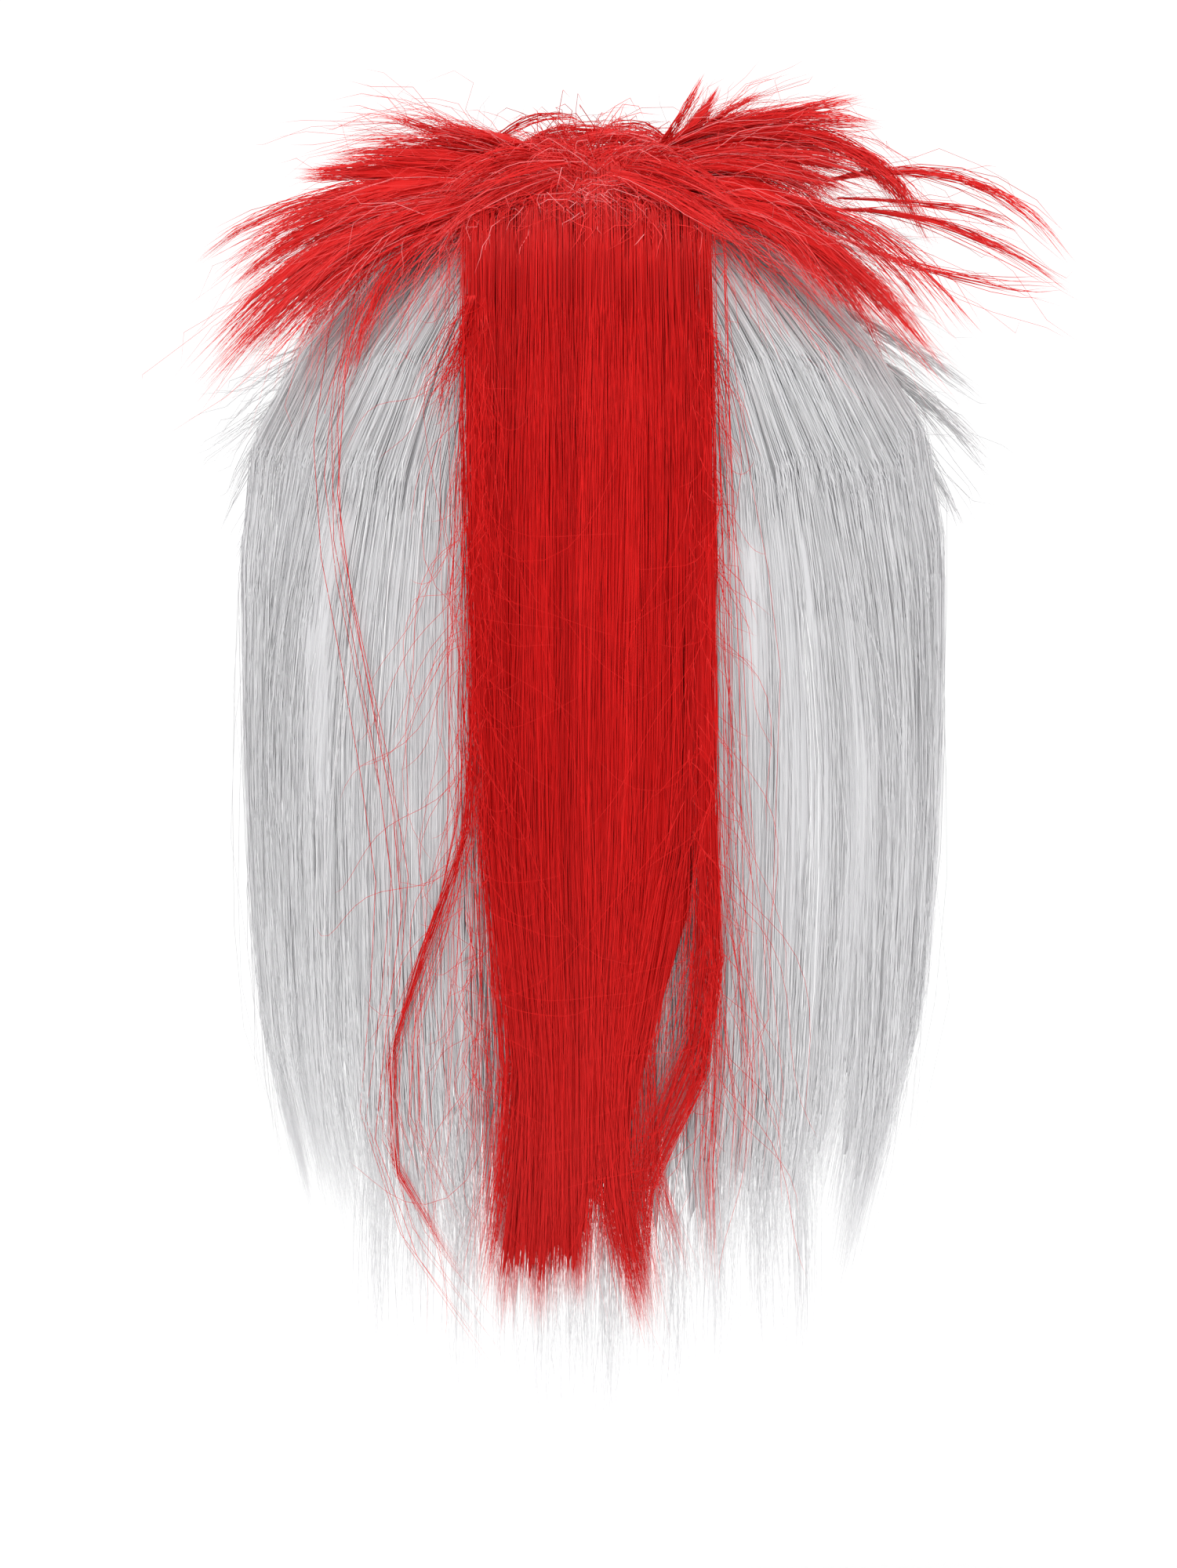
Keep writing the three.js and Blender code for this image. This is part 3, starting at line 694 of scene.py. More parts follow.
def crown_tufts(rng, side, clumps=34, count=14):
    """Short tousled clumps over the crown, brushed from the middle, some of them across it."""
    bundles = []
    for _ in range(clumps):
        root = over_crown(side * rng.uniform(-6, 24), rng.uniform(-58, 50), CAP_WALL + 3)
        heading = rng.normal(0.35, 0.6)
        reach = rng.uniform(16, 32)
        ahead = np.array([side * math.cos(heading), math.sin(heading), rng.uniform(-0.35, 0.1)])
        rise = np.array([0, 0, rng.uniform(2, 6.5) - 2 * smooth(root[1], 30, 54)])
        tip = root + ahead * reach
        lock = Lock(root, (root + tip) / 2 + rise, tip + rise * 0.5, rng.uniform(7, 13), count)
        # Raised shades, so that some clumps reach the pale pink top stop: painted highlight.
        bundles.append(short_strands(rng, lock, steps=6, stray=2.6, shade=rng.uniform(0.5, 0.95)))
    return bundles


def crown_pile(rng, side, count=880, steps=6):
    """Short soft strands over the crown, each going its own way, that flow out and down over the back."""
    own = shares(count, steps)
    across = side * rng.uniform(-4, 31, count)
    back = -60 + 128 * rng.random(count) ** 0.8
    heading = 0.2 + 1.25 * smooth(back, 14, 56) - 1.2 * smooth(-back, 4, 44)
    heading += rng.normal(0, 0.5, count) * (1 + 1.2 * (np.abs(across) < 12))
    reach = rng.uniform(12, 30, count) * (1 - 0.35 * smooth(back, 30, 68))
    x = across[:, None] + side * (np.cos(heading) * reach)[:, None] * own
    y = np.minimum(back[:, None] + (np.sin(heading) * reach)[:, None] * own, 84)
    middle = 1 - smooth(np.abs(across), 6, 24)
    height = rng.uniform(4, 10 + 7 * middle, count) * (1 - 0.45 * smooth(back, 30, 60))
    lift = CAP_WALL + 1.5 + height[:, None] * np.sin(own * math.pi * rng.uniform(0.35, 0.7, count)[:, None])
    over_stripe = CAP_WALL + 2 + 12 * smooth(y, 20, 84) + rng.uniform(0, 2, count)[:, None]
    lift = np.maximum(lift, over_stripe * smooth(own, -0.1, 0.35))
    paths = frizz(rng, over_crown(x, y, lift), own, 1.6, lifting=0.6)
    # Some of the pile reaches the pale pink top shade: painted highlights.
    tone = np.clip(rng.uniform(0.3, 1.12, count), 0, 1)
    return Strands(paths, WIRY * rng.uniform(0.6, 1.1, count), tone)


def red_crown(side_name, side):
    name = f"red_crown_{side_name}"
    rng = random_for(name)
    wing, front = wing_locks(side_name), front_locks(side)
    locks = wing + front
    bundles = [short_strands(rng, lock) for lock in feathered(rng, locks)]
    fuzz = [lock._replace(width=lock.width * 1.3, count=max(6, lock.count // 6)) for lock in locks]
    fuzz += [placed(wisp, 6) for wisp in LOOSE[side_name]]
    # The fuzz's high shade lets some of it reach the pale pink top shade: painted highlights.
    bundles += fuzzy_strands(rng, fuzz, shade=0.8)
    bundles += crown_tufts(rng, side)
    bundles.append(crown_pile(rng, side))
    full = [lock for lock in wing if lock.count > 80 and lock.width > 7]
    bodies = lock_bodies(name + "_body", full, red_coat)
    bodies += lock_bodies(name + "_front_body", front, red_coat, share=0.5)
    objects = [strand_mesh(name, bundles, red_strand), band_coat(name + "_pile", side, red_coat), *bodies]
    return finish_piece(name, objects)


# Hair in long hanks. Each hank hangs at a turn round the head and ends at tip, its depth below the crown.
# Its strands draw together below the level gather, a share of its length.
Hank = namedtuple("Hank", "turn tip drift lift gather count")

CURTAINS = {
    "left": [
        Hank(95, 262, 4, 16, 0.4, 164),
        Hank(100, 272, 3, 15.5, 0.35, 172),
        Hank(106, 276, -1, 15, 0.4, 172),
        Hank(112, 264, 3, 14.5, 0.35, 172),
        Hank(118, 270, -2, 14, 0.5, 172),
        Hank(124, 282, 1, 14, 0.55, 172),
        Hank(131, 274, 0, 14, 0.65, 172),
        Hank(138, 286, -1, 13.5, 0.7, 172),
        Hank(145, 282, 0, 13, 0.7, 164),
        Hank(151, 290, 1, 12.5, 0.7, 164),
        Hank(157, 286, 0, 12, 0.7, 147),
    ],
    "right": [
        Hank(95, 244, 3, 17.5, 0.75, 172),
        Hank(100, 256, 2, 18.5, 0.75, 172),
        Hank(106, 268, 2, 18, 0.75, 172),
        Hank(112, 286, 1, 16.5, 0.8, 172),
        Hank(118, 292, -1, 15.5, 0.8, 172),
        Hank(124, 282, -2, 15, 0.8, 172),
        Hank(131, 276, 0, 14, 0.8, 172),
        Hank(138, 282, 1, 13.5, 0.8, 172),
        Hank(145, 284, 0, 13, 0.75, 164),
        Hank(151, 288, 1, 12.5, 0.75, 164),
        Hank(157, 284, 0, 12, 0.7, 147),
    ],
}


def layer_lift(depth, root, lift, seat=CAP_WALL + 1, rise=(-2, 74)):
    """Hair leaves the cap at its root and lies at its full lift a little further down."""
    return seat + (lift - seat) * smooth(depth - root, *rise)


def thinned(level):
    """How much of its lift a hank keeps towards its tip."""
    return 1 - 0.5 * smooth(level, 0.8, 1.0)


def shared_points(rng, spot, parts, cut):
    """Shares strands between the points in which a hank ends: where each lies, and how much is cut off it."""
    which = np.clip(((spot + 1) / 2 * parts).astype(int), 0, parts - 1)
    return (which + 0.5) / parts * 2 - 1, rng.uniform(-cut, cut, parts)[which]


def swept(turn, depth):
    """Where curtain hair lies that hangs at a turn lower down: its upper part starts nearer the parting."""
    share = (0.1 + 0.4 * smooth(turn, 94, 128)) * (1 - smooth(depth, 0, 170))
    return turn + (PARTING - turn) * share


def long_strands(rng, hank, place, root_from, root_to, half_width, steps=10, radius=STRAND, stray=1.0):
    """The strands of a hank. half_width is in degrees; place gives a point from turn, depth and lift."""
    count = hank.count
    spot = rng.uniform(-1, 1, count)
    point, cut = shared_points(rng, spot, 3, 8)
    root = root_from + (root_to - root_from) * rng.random(count) ** 1.7
    tip = hank.tip * (1 - 0.08 * rng.random(count) ** 2) + cut - 4
    own = shares(count, steps, 1.3)
    depth = root[:, None] + (tip - root)[:, None] * own
    level = depth / hank.tip
    pointed = 0.85 * smooth(own, 0.7, 1.0)
    spots = spot[:, None] * (1 - pointed) + point[:, None] * pointed
    gather = 1.15 - 0.85 * smooth(level, hank.gather, 1.0)
    loose = 0.35 + 2.5 * (1 - smooth(hank.gather, 0.3, 0.6))
    sway = sum(
        loose * rng.normal(0, size) * np.sin(2 * math.pi * (level * waves + rng.random()))
        for size, waves in ((0.5, 1.1), (0.25, 2.3))
    )
    turn = swept(hank.turn + spots * half_width * gather + hank.drift * level**3 + sway, depth)
    depth_in = 0.6 * rng.random(count) ** 1.5
    lift = layer_lift(depth, root[:, None], (hank.lift - depth_in[:, None]) * thinned(level))
    length = (tip - root)[:, None, None]
    paths = frizz(rng, place(turn, depth, lift), own, 0.006 * length * stray)
    return shaded(rng, paths, radius)


def streak_relief(rng, rows, columns, fine, coarse):
    """Combed relief over a grid: streaks that run down it and change slowly."""

    def layer(across, down, size):
        table = rng.normal(0, size, (down, across))
        x = np.linspace(0, across - 1, columns)
        y = np.linspace(0, down - 1, rows)
        rows_done = np.array([np.interp(x, np.arange(across), line) for line in table])
        return np.array([np.interp(y, np.arange(down), rows_done[:, i]) for i in range(columns)]).T

    return layer(columns, 5, fine) + layer(max(4, columns // 7), 4, coarse)


def curtain_coat(name, side, hanks, material):
    """The combed undercoat of a curtain, which ends in a point for each hank."""
    rows, columns = 34, 100
    rng = random_for(name)
    turns = np.linspace(92.5, 158.5, columns)
    middles = [hank.turn for hank in hanks]
    tips = np.interp(turns, middles, [hank.tip for hank in hanks])
    gather = np.interp(turns, middles, [hank.gather for hank in hanks])
    nearest = np.min([np.abs(turns - middle) / 3.2 for middle in middles], axis=0)
    point = 0.5 * (1 - gather) * (1 - np.clip(nearest, 0, 1))
    ends = tips * (gather + point + rng.normal(0, 0.008, columns))
    lifts = np.interp(turns, middles, [hank.lift for hank in hanks])
    share = np.linspace(0, 1, rows)[:, None]
    depth = 14 + (ends[None, :] - 14) * share
    below = 1.1 * (1 - smooth(depth, 70, 120)) + 1.3 * smooth(share, 0.72, 1.0)
    full = layer_lift(depth, 24, (lifts[None, :] - below) * thinned(depth / tips[None, :]), seat=CAP_WALL)
    combed = streak_relief(rng, rows, columns, 0.04, 0.35)
    combed = np.array([np.interp(turns, at, line) for at, line in zip(swept(turns[None, :], depth), combed)])
    outer_lift = full + combed * smooth(share, 0, 0.15)
    inner_lift = np.maximum(full - 4 * (1 - 0.75 * share), COAT_SEAT)
    outer_lift = np.maximum(outer_lift, inner_lift + THINNEST_COAT)
    turn = side * np.broadcast_to(turns[None, :], depth.shape)
    return grid_mesh(name, hanging(turn, depth, outer_lift), hanging(turn, depth, inner_lift), material)


def painted_highlights(rng, place, hanks, count=44, steps=8):
    """Short stretches of near-white hair in the outer hanks: painted highlights where they turn to the light.
    """
    turn = rng.uniform(93, 114, count)
    start = rng.uniform(60, 240, count)
    length = rng.uniform(10, 32, count)
    depth = start[:, None] + length[:, None] * shares(count, steps)
    turns = turn[:, None] + 1.2 * np.sin(2 * math.pi * (depth / 130 + rng.random((count, 1)) * 0.25))
    turns = swept(turns, depth)
    lifts = np.interp(turns, [hank.turn for hank in hanks], [hank.lift for hank in hanks])
    paths = place(turns, depth, layer_lift(depth, 24, lifts) + 0.25)
    # Shade 1 gives these strands the near-white top stop: painted highlight.
    return Strands(paths, rng.uniform(0.09, 0.15, count), np.ones(count))


def white_curtain(side_name, side):
    name = f"white_curtain_{side_name}"
    rng = random_for(name)
    hanks = CURTAINS[side_name]

    def place(turn, depth, lift):
        return hanging(side * turn, depth, lift)

    bundles = [long_strands(rng, hank, place, 12, 56, 4.2) for hank in hanks]
    bundles += [
        long_strands(rng, hank._replace(count=10), place, 14, 90, 7, radius=FINE, stray=4.5)
        for hank in hanks
        if hank.turn < 142
    ]
    bundles.append(painted_highlights(rng, place, hanks))
    coat = curtain_coat(name + "_coat", side, hanks, white_coat)
    return finish_piece(name, [strand_mesh(name, bundles, white_strand), coat])


# The red stripe. Each row is a hank of it, as seen from behind: how far it lies to the wearer's left at six
# levels and at its tip, and how low the tip shows.
Stripe = namedtuple("Stripe", "crown shoulder waist taper narrow brush tip_x tip_z width count")
STRIPE_LEVELS = (-8, -80, -181, -212, -243, -275)
STRIPE = [
    Stripe(30, 30.5, 25.5, 21.5, 18.5, 25, 30, -300, 5.5, 99),
    Stripe(26.5, 27.5, 23.5, 19.5, 16.5, 21, 24, -305, 6, 132),
    Stripe(22, 23.5, 21.5, 16.5, 13.5, 16.5, 18.5, -299, 6, 150),
    Stripe(16.5, 17.5, 16.5, 13, 10.5, 12.5, 13.5, -305, 6, 150),
    Stripe(11, 12, 11.5, 9, 7, 8, 8, -300, 6, 150),
    Stripe(5.5, 6, 6, 4.5, 3.5, 3.5, 3, -305, 6, 150),
    Stripe(0, 0, 0.5, 0, 0, 1, 4, -296, 6, 150),
    Stripe(-5.5, -6, -5, -4, -3, -4, -11, -297, 6, 150),
    Stripe(-11, -12, -11, -8, -5.5, -6.5, -14, -304, 6, 150),
    Stripe(-16.5, -17.5, -16.5, -11.5, -7, -8, -18, -309, 5.5, 122),
    Stripe(-22, -23, -21, -14, -8, -8.5, -19, -300, 5, 103),
    Stripe(-25, -27, -26, -19, -13, -19, -29, -294, 3, 40),
    Stripe(-27, -30, -30, -31.5, -27, -7, -10, -292, 2.6, 80),
    Stripe(-30, -32.5, -32.5, -35, -31, -9.5, -15, -296, 2.6, 70),
    Stripe(-24, -26, -27, -26, -20, -14, -14, -290, 8, 14),
    Stripe(-28, -30, -31, -35, -34, -30, -34, -292, 4, 20),
    Stripe(-31, -33, -35, -40, -44, -42, -38, -275, 10, 14),
    Stripe(28, 28, 32.5, 48.5, 56, 52, 29, -291, 1.2, 26),
    Stripe(30, 30, 33, 44, 50, 44, 30, -284, 7, 10),
    Stripe(58, 72, 53, 55, 61, 57, 20, -318, 8, 6),
    Stripe(28, 30, 31, 30, 33, 34, 36, -270, 12, 14),
]

# The edges of the stripe's undercoat: depths, and how far to the wearer's left the edge lies there
COAT_LEFT = ((8, 80, 180, 215, 245, 277), (26.5, 28, 24.5, 19, 19, 22.5))
COAT_RIGHT = ((8, 80, 180, 215, 245, 270), (-25.5, -28, -25.5, -15.5, -8.5, -10))

# Short wisps that leave the stripe at its upper edges, as seen from behind
EDGE_WISPS = [
    Wisp(31, -30, 35, -42, 46, -60, 90, 96, 5, 34),
    Wisp(32, -36, 36, -50, 43, -64, 92, 98, 5, 26),
    Wisp(-27, -32, -33, -46, -38, -62, 90, 98, 5, 34),
    Wisp(-28, -42, -34, -56, -40, -76, 94, 100, 5, 24),
    Wisp(-28, -70, -33, -84, -41, -102, 102, 106, 4, 16),
    Wisp(-28, -88, -34, -104, -44, -120, 106, 108, 4, 14),
]


def loose_hairs(rng, count, across, down, steps=12):
    """Single hairs that come out of the stripe and curl over the white hair beside it."""
    side = np.where(rng.random(count) < 0.55, 1, -1)
    start_x = side * rng.uniform(*across, count)
    start_z = -rng.uniform(*down, count)
    length = np.where(rng.random(count) < 0.65, rng.uniform(8, 30, count), rng.uniform(30, 90, count))
    heading = side * rng.uniform(-0.1, 0.8, count)
    curl = rng.normal(0, 1.0, count) - 0.6 * side
    own = shares(count, steps)
    wave = np.sin(2 * math.pi * (own + rng.random((count, 1))))
    angle = heading[:, None] + curl[:, None] * own + 0.4 * wave
    stride = length[:, None] / (steps - 1)
    x = start_x[:, None] + np.cumsum(np.sin(angle) * stride, axis=1)
    depth = -start_z[:, None] + np.cumsum(np.cos(angle) * stride, axis=1)
    lift = 17.5 + 5 * rng.random((count, 1)) * np.sin(math.pi * own * 0.8)
    paths = behind(CURTAIN_REACH * np.tanh(x / CURTAIN_REACH), depth, lift)
    return Strands(paths, np.full(count, LOOSE_HAIR), rng.uniform(0.4, 1, count))


def placed(wisp, middle):
    """A lock from a row of places as seen from behind. middle is how much nearer the camera its middle is."""
    return Lock(
        as_seen(wisp.root_x, wisp.root_z, wisp.root_back),
        as_seen(wisp.bend_x, wisp.bend_z, (wisp.root_back + wisp.tip_back) / 2 + middle),
        as_seen(wisp.tip_x, wisp.tip_z, wisp.tip_back),
        wisp.width,
        wisp.count,
    )


def stripe_strands(rng, row, steps=12, radius=STRAND, stray=1.0):
    count = row.count
    spot = np.clip(rng.normal(0, 0.6, count), -1.2, 1.2)
    point, cut = shared_points(rng, spot, 2, 5)
    crown_depth = 1 + 32 * rng.random(count) ** 1.8
    own = shares(count, steps, 1.2)
    tip_z = row.tip_z + 10 * rng.random(count) ** 3 + cut
    top = -crown_depth
    seen_z = top[:, None] + (tip_z - top)[:, None] * own
    levels = np.array([*STRIPE_LEVELS, row.tip_z])[::-1]
    places = np.array(row[:7])[::-1]
    centre = sum(np.interp(seen_z + shift, levels, places) for shift in (-16, -8, 0, 8, 16)) / 5
    low = smooth(-seen_z, 190, 290)
    pointed = 0.75 * smooth(own, 0.86, 1.0)
    spots = spot[:, None] * (1 - pointed) + point[:, None] * pointed
    sway = sum(
        rng.normal(0, size) * np.sin(2 * math.pi * (seen_z / 300 * waves + rng.random()))
        for size, waves in ((0.5, 1.1), (0.3, 2.7))
    )
    seen_x = centre + spots * row.width / 2 * (1.1 - 0.65 * low) + sway * min(1, row.width / 5)
    depth_in = rng.random(count) ** 1.5
    depth = -seen_z
    lift = layer_lift(depth, crown_depth[:, None] - 12, 16 - depth_in[:, None] - 3 * low, rise=STRIPE_RISE)
    # How near the camera the hair lies changes with where it is, so its place is worked out in two rounds
    near = behind(seen_x, depth, lift)[..., 1]
    for _ in range(2):
        share = (DISTANCE - near) / DISTANCE
        true_x = seen_x * share
        true_z = AIM_HEIGHT + (seen_z - AIM_HEIGHT) * share + near * math.tan(ELEVATION)
        depth = np.maximum(-true_z, 1.0)
        paths = behind(true_x, depth, lift)
        near = paths[..., 1]
    paths = frizz(rng, paths, own, 1.2 * stray * min(1, row.width / 5))
    return shaded(rng, paths, radius, (0.2, 0.8))


def tail_coat(name, material):
    """The combed undercoat of the red stripe."""
    rows, columns = 36, 90
    rng = random_for(name)
    share = np.linspace(0, 1, rows)[:, None]
    across = np.linspace(1, -1, columns)[None, :]
    notch = 22 * np.exp(-(((across + 0.57) / 0.28) ** 2))
    ends = 277 - 12 * rng.random(columns)[None, :] ** 1.2 - notch
    depth = 8 + (ends - 8) * share
    left, right = np.interp(depth, *COAT_LEFT), np.interp(depth, *COAT_RIGHT)
    x = (left + right) / 2 + across * (left - right) / 2
    below = 0.7 + 1.1 * (1 - smooth(depth, 90, 140)) + 1.2 * smooth(share, 0.85, 1.0)
    full = layer_lift(depth, 8, 16 - below - 3 * smooth(depth, 190, 290), seat=CAP_WALL, rise=STRIPE_RISE)
    outer_lift = full + streak_relief(rng, rows, columns, 0.06, 0.3) * smooth(share, 0, 0.12)
    edge = 1 - np.abs(across) ** 6
    outer_lift = full - 3 + (outer_lift - full + 3) * edge
    inner_lift = np.maximum(full - 4.5, COAT_SEAT)
    outer_lift = np.maximum(outer_lift, inner_lift + THINNEST_COAT)
    return grid_mesh(name, behind(x, depth, outer_lift), behind(x, depth, inner_lift), material)


def red_tail():
    name = "red_tail"
    rng = random_for(name)
    bundles = [stripe_strands(rng, row) for row in STRIPE]
    for row in STRIPE:
        if abs(row.crown) > 20 and row.count > 70:
            bundles.append(stripe_strands(rng, row._replace(width=14, count=12), radius=FINE, stray=5))
    edges = [placed(wisp, 2) for wisp in EDGE_WISPS]
    bundles += [short_strands(rng, lock, FINE * 1.3, ragged=0.6, stray=3) for lock in edges]
    bundles.append(loose_hairs(rng, 300, (24, 33), (36, 225)))
    coat = tail_coat(name + "_coat", stripe_coat)
    return finish_piece(name, [strand_mesh(name, bundles, stripe_strand), coat])


# The white layer at the nape: how far each hank lies to the wearer's left at its root and tip, and its depth
Under = namedtuple("Under", "root_x tip_x tip lift count")
NAPE = [
    Under(44, 55, 303, 5, 84),
    Under(36, 44, 296, 6, 84),
    Under(28, 31, 308, 7, 84),
    Under(20, 20, 302, 7, 84),
    Under(12, 12, 314, 8, 84),
    Under(4, 3, 309, 8, 84),
    Under(-4, -5, 317, 8, 84),
    Under(-12, -12, 306, 8, 84),
    Under(-20, -21, 312, 10, 84),
    Under(-28, -32, 304, 11, 84),
    Under(-36, -45, 298, 9, 84),
    Under(-44, -55, 306, 5, 84),
]


def nape_points(x, depth, lift, root):
    """Places in the nape layer, which is rooted on the cap and swings out to hang behind it."""
    on_cap = shell(np.degrees(np.pi - np.arcsin(np.clip(x / 60, -0.95, 0.95))), depth, CAP_WALL + 1)
    free = behind(x, depth, lift)
    share = smooth(depth - root, 0, 46)[..., None]
    return on_cap * (1 - share) + free * share


def under_strands(rng, row, steps=10, radius=STRAND, stray=1.0):
    count = row.count
    root = rng.uniform(98, 162, count)
    tip = (row.tip + 6) * (1 - 0.12 * rng.random(count) ** 1.6)
    own = shares(count, steps)
    depth = root[:, None] + (tip - root)[:, None] * own
    level = smooth(depth, 100, row.tip)
    spread = rng.normal(0, 2.6, count)[:, None] * (1.2 - 0.6 * level)
    x = row.root_x + (row.tip_x - row.root_x) * level + spread
    lift = row.lift - 7 * rng.random(count)[:, None] * (1 - 0.6 * level)
    paths = frizz(rng, nape_points(x, depth, lift, root[:, None]), own, 1.8 * stray)
    return shaded(rng, paths, radius, (0.35, 0.6))


def nape_coat(name, material):
    """The undercoat of the nape layer, cut off ragged under the tips of its strands."""
    rows, columns = 28, 80
    rng = random_for(name)
    share = np.linspace(0, 1, rows)[:, None]
    across = np.linspace(1, -1, columns)[None, :]
    tips = np.interp(across[0], [row.root_x / -48 for row in NAPE], [row.tip for row in NAPE])
    ends = tips[None, :] * rng.uniform(0.76, 0.88, columns)[None, :]
    depth = 96 + (ends - 96) * share
    x = across * (44 + 3 * share)
    outer_lift = 4.2 - 1.4 * smooth(share, 0.6, 1.0) + streak_relief(rng, rows, columns, 0.1, 0.3)
    inner_lift = 1.2 + 1.0 * share + 0 * across
    outer, inner = nape_points(x, depth, outer_lift, 84), nape_points(x, depth, inner_lift, 112)
    return grid_mesh(name, outer, inner, material)


def white_nape():
    name = "white_nape"
    rng = random_for(name)
    bundles = [under_strands(rng, row) for row in NAPE]
    bundles += [under_strands(rng, row._replace(count=8), radius=FINE, stray=1.6) for row in NAPE]
    coat = nape_coat(name + "_coat", white_coat)
    return finish_piece(name, [strand_mesh(name, bundles, white_strand), coat])


# Short hair round the face. turn and depth place the root, depth as a share of the cap's edge; the tip is a
# point, given for the wearer's left.
Tuft = namedtuple("Tuft", "turn depth tip_x tip_back tip_z width count")

SIDES = {
    "left": [
        Tuft(63, 0.3, 80, -50, -92, 14, 79),
        Tuft(65, 0.62, 83, -44, -108, 14, 79),
        Tuft(68, 0.3, 84, -38, -84, 14, 79),
        Tuft(70, 0.74, 84, -30, -118, 14, 79),
        Tuft(73, 0.45, 87, -26, -98, 14, 79),
        Tuft(76, 0.25, 86, -20, -80, 13, 79),
        Tuft(77, 0.65, 88, -14, -112, 14, 79),
        Tuft(80, 0.4, 89, -10, -92, 13, 79),
        Tuft(82, 0.2, 86, -6, -72, 12, 73),
        Tuft(83, 0.65, 90, -2, -106, 14, 79),
        Tuft(84, 0.25, 97, 0, -50, 7, 18),
        Tuft(85, 0.4, 104, 4, -64, 9, 30),
        Tuft(87, 0.5, 101, 10, -76, 9, 30),
        Tuft(89, 0.3, 88, 8, -92, 12, 73),
        Tuft(90, 0.7, 90, 14, -104, 12, 73),
    ],
    "right": [
        Tuft(63, 0.3, 80, -48, -90, 14, 79),
        Tuft(65, 0.62, 83, -42, -106, 14, 79),
        Tuft(68, 0.3, 84, -36, -80, 14, 79),
        Tuft(70, 0.74, 84, -28, -118, 14, 79),
        Tuft(73, 0.45, 87, -24, -96, 14, 79),
        Tuft(77, 0.65, 88, -12, -110, 14, 79),
        Tuft(80, 0.4, 89, -10, -92, 13, 79),
        Tuft(82, 0.2, 86, -6, -70, 12, 73),
        Tuft(83, 0.65, 92, -2, -104, 14, 79),
        Tuft(76, 0.1, 93, 10, -19, 8, 60),
        Tuft(78, 0.15, 98, 6, -41, 7, 40),
        Tuft(80, 0.3, 106, 6, -60, 8, 64),
        Tuft(84, 0.4, 107, 10, -77, 8, 64),
        Tuft(87, 0.5, 98, 18, -90, 9, 83),
        Tuft(90, 0.7, 92, 16, -102, 12, 73),
    ],
}

FRONTS = [
    Tuft(26, 0.5, 18, -70, 26, 16, 13),
    Tuft(33, 0.45, 32, -76, 27, 16, 15),
    Tuft(40, 0.4, 46, -66, 22, 16, 13),
    Tuft(26, 0.5, 44, -104, -50, 12, 75),
    Tuft(26, 0.75, 38, -106, -66, 12, 75),
    Tuft(33, 0.6, 54, -102, -64, 13, 75),
    Tuft(39, 0.35, 62, -92, -40, 12, 75),
    Tuft(41, 0.75, 64, -92, -76, 13, 75),
    Tuft(46, 0.5, 74, -82, -58, 13, 75),
    Tuft(51, 0.75, 78, -70, -84, 13, 75),
    Tuft(54, 0.4, 82, -64, -56, 12, 75),
    Tuft(58, 0.7, 83, -54, -90, 13, 75),
    Tuft(60, 0.4, 86, -46, -62, 12, 75),
]

FRINGE = [
    Tuft(-20, 0.45, -40, -104, -60, 17, 105),
    Tuft(-12, 0.5, -24, -112, -70, 17, 112),
    Tuft(-5, 0.4, -9, -114, -62, 17, 112),
    Tuft(3, 0.5, 5, -115, -70, 17, 112),
    Tuft(10, 0.4, 20, -112, -64, 17, 112),
    Tuft(18, 0.5, 36, -106, -70, 17, 105),
]


# The cap's edge: its depth at turns from the face to the back of the head
CAP_EDGE = [(0, 56), (52, 80), (78, 112), (98, 100), (132, 157.6), (180, NAPE_DEPTH)]


def edge_depth(turn):
    """The depth of the cap's edge, the same at both sides of the face."""
    from_face = np.abs((np.asarray(turn, float) + 180) % 360 - 180)
    result = np.zeros_like(from_face)
    for (a, depth_a), (b, depth_b) in zip(CAP_EDGE, CAP_EDGE[1:]):
        inside = (from_face >= a) & (from_face <= b)
        result = np.where(inside, depth_a + (depth_b - depth_a) * smooth(from_face, a, b), result)
    return result


def tuft_lock(tuft, side=1):
    root = shell(side * tuft.turn, tuft.depth * edge_depth(tuft.turn), CAP_WALL + 2)
    tip = np.array([side * tuft.tip_x, tuft.tip_back, tuft.tip_z], float)
    middle = (root + tip) / 2
    reach = np.linalg.norm(tip - root)
    return Lock(root, middle + unit(middle - HEART) * 0.04 * reach, tip, tuft.width, tuft.count)


def pile(name, turns, depths, material):
    """The dense short pile on the cap between two turns and two shares of the cap's edge depth."""
    rows, columns = 22, 24
    rng = random_for(name)
    share = np.linspace(depths[0], depths[1], rows)[:, None]
    turn = np.linspace(turns[0], turns[1], columns)[None, :] * np.ones((rows, 1))
    depth = share * edge_depth(turn)
    bumps = rng.normal(0, 0.4, depth.shape)
    outer = shell(turn, depth, CAP_WALL + 3.6 + bumps)
    return grid_mesh(name, outer, shell(turn, depth, COAT_SEAT), material)


def pile_strands(rng, turns, depths, count, fall=(9, 20), steps=5):
    """Short strands that stand on the cap and lean down and outwards."""
    turn = turns[0] + (turns[1] - turns[0]) * rng.random(count)
    depth = rng.uniform(depths[0], depths[1], count) * edge_depth(turn)
    own = shares(count, steps)
    drop = rng.uniform(*fall, count)
    reach = rng.uniform(5, 9, count)
    swing = rng.normal(0, 5, count)
    paths = shell(
        turn[:, None] + swing[:, None] * own,
        depth[:, None] + drop[:, None] * own**1.3,
        CAP_WALL + 1.5 + reach[:, None] * np.sqrt(own),
    )
    paths = frizz(rng, paths, own, 1.0, lifting=1)
    tone = np.clip(0.5 + rng.normal(0, 0.22, count), 0, 1)
    return Strands(paths, STRAND * rng.uniform(0.7, 1.1, count), tone)


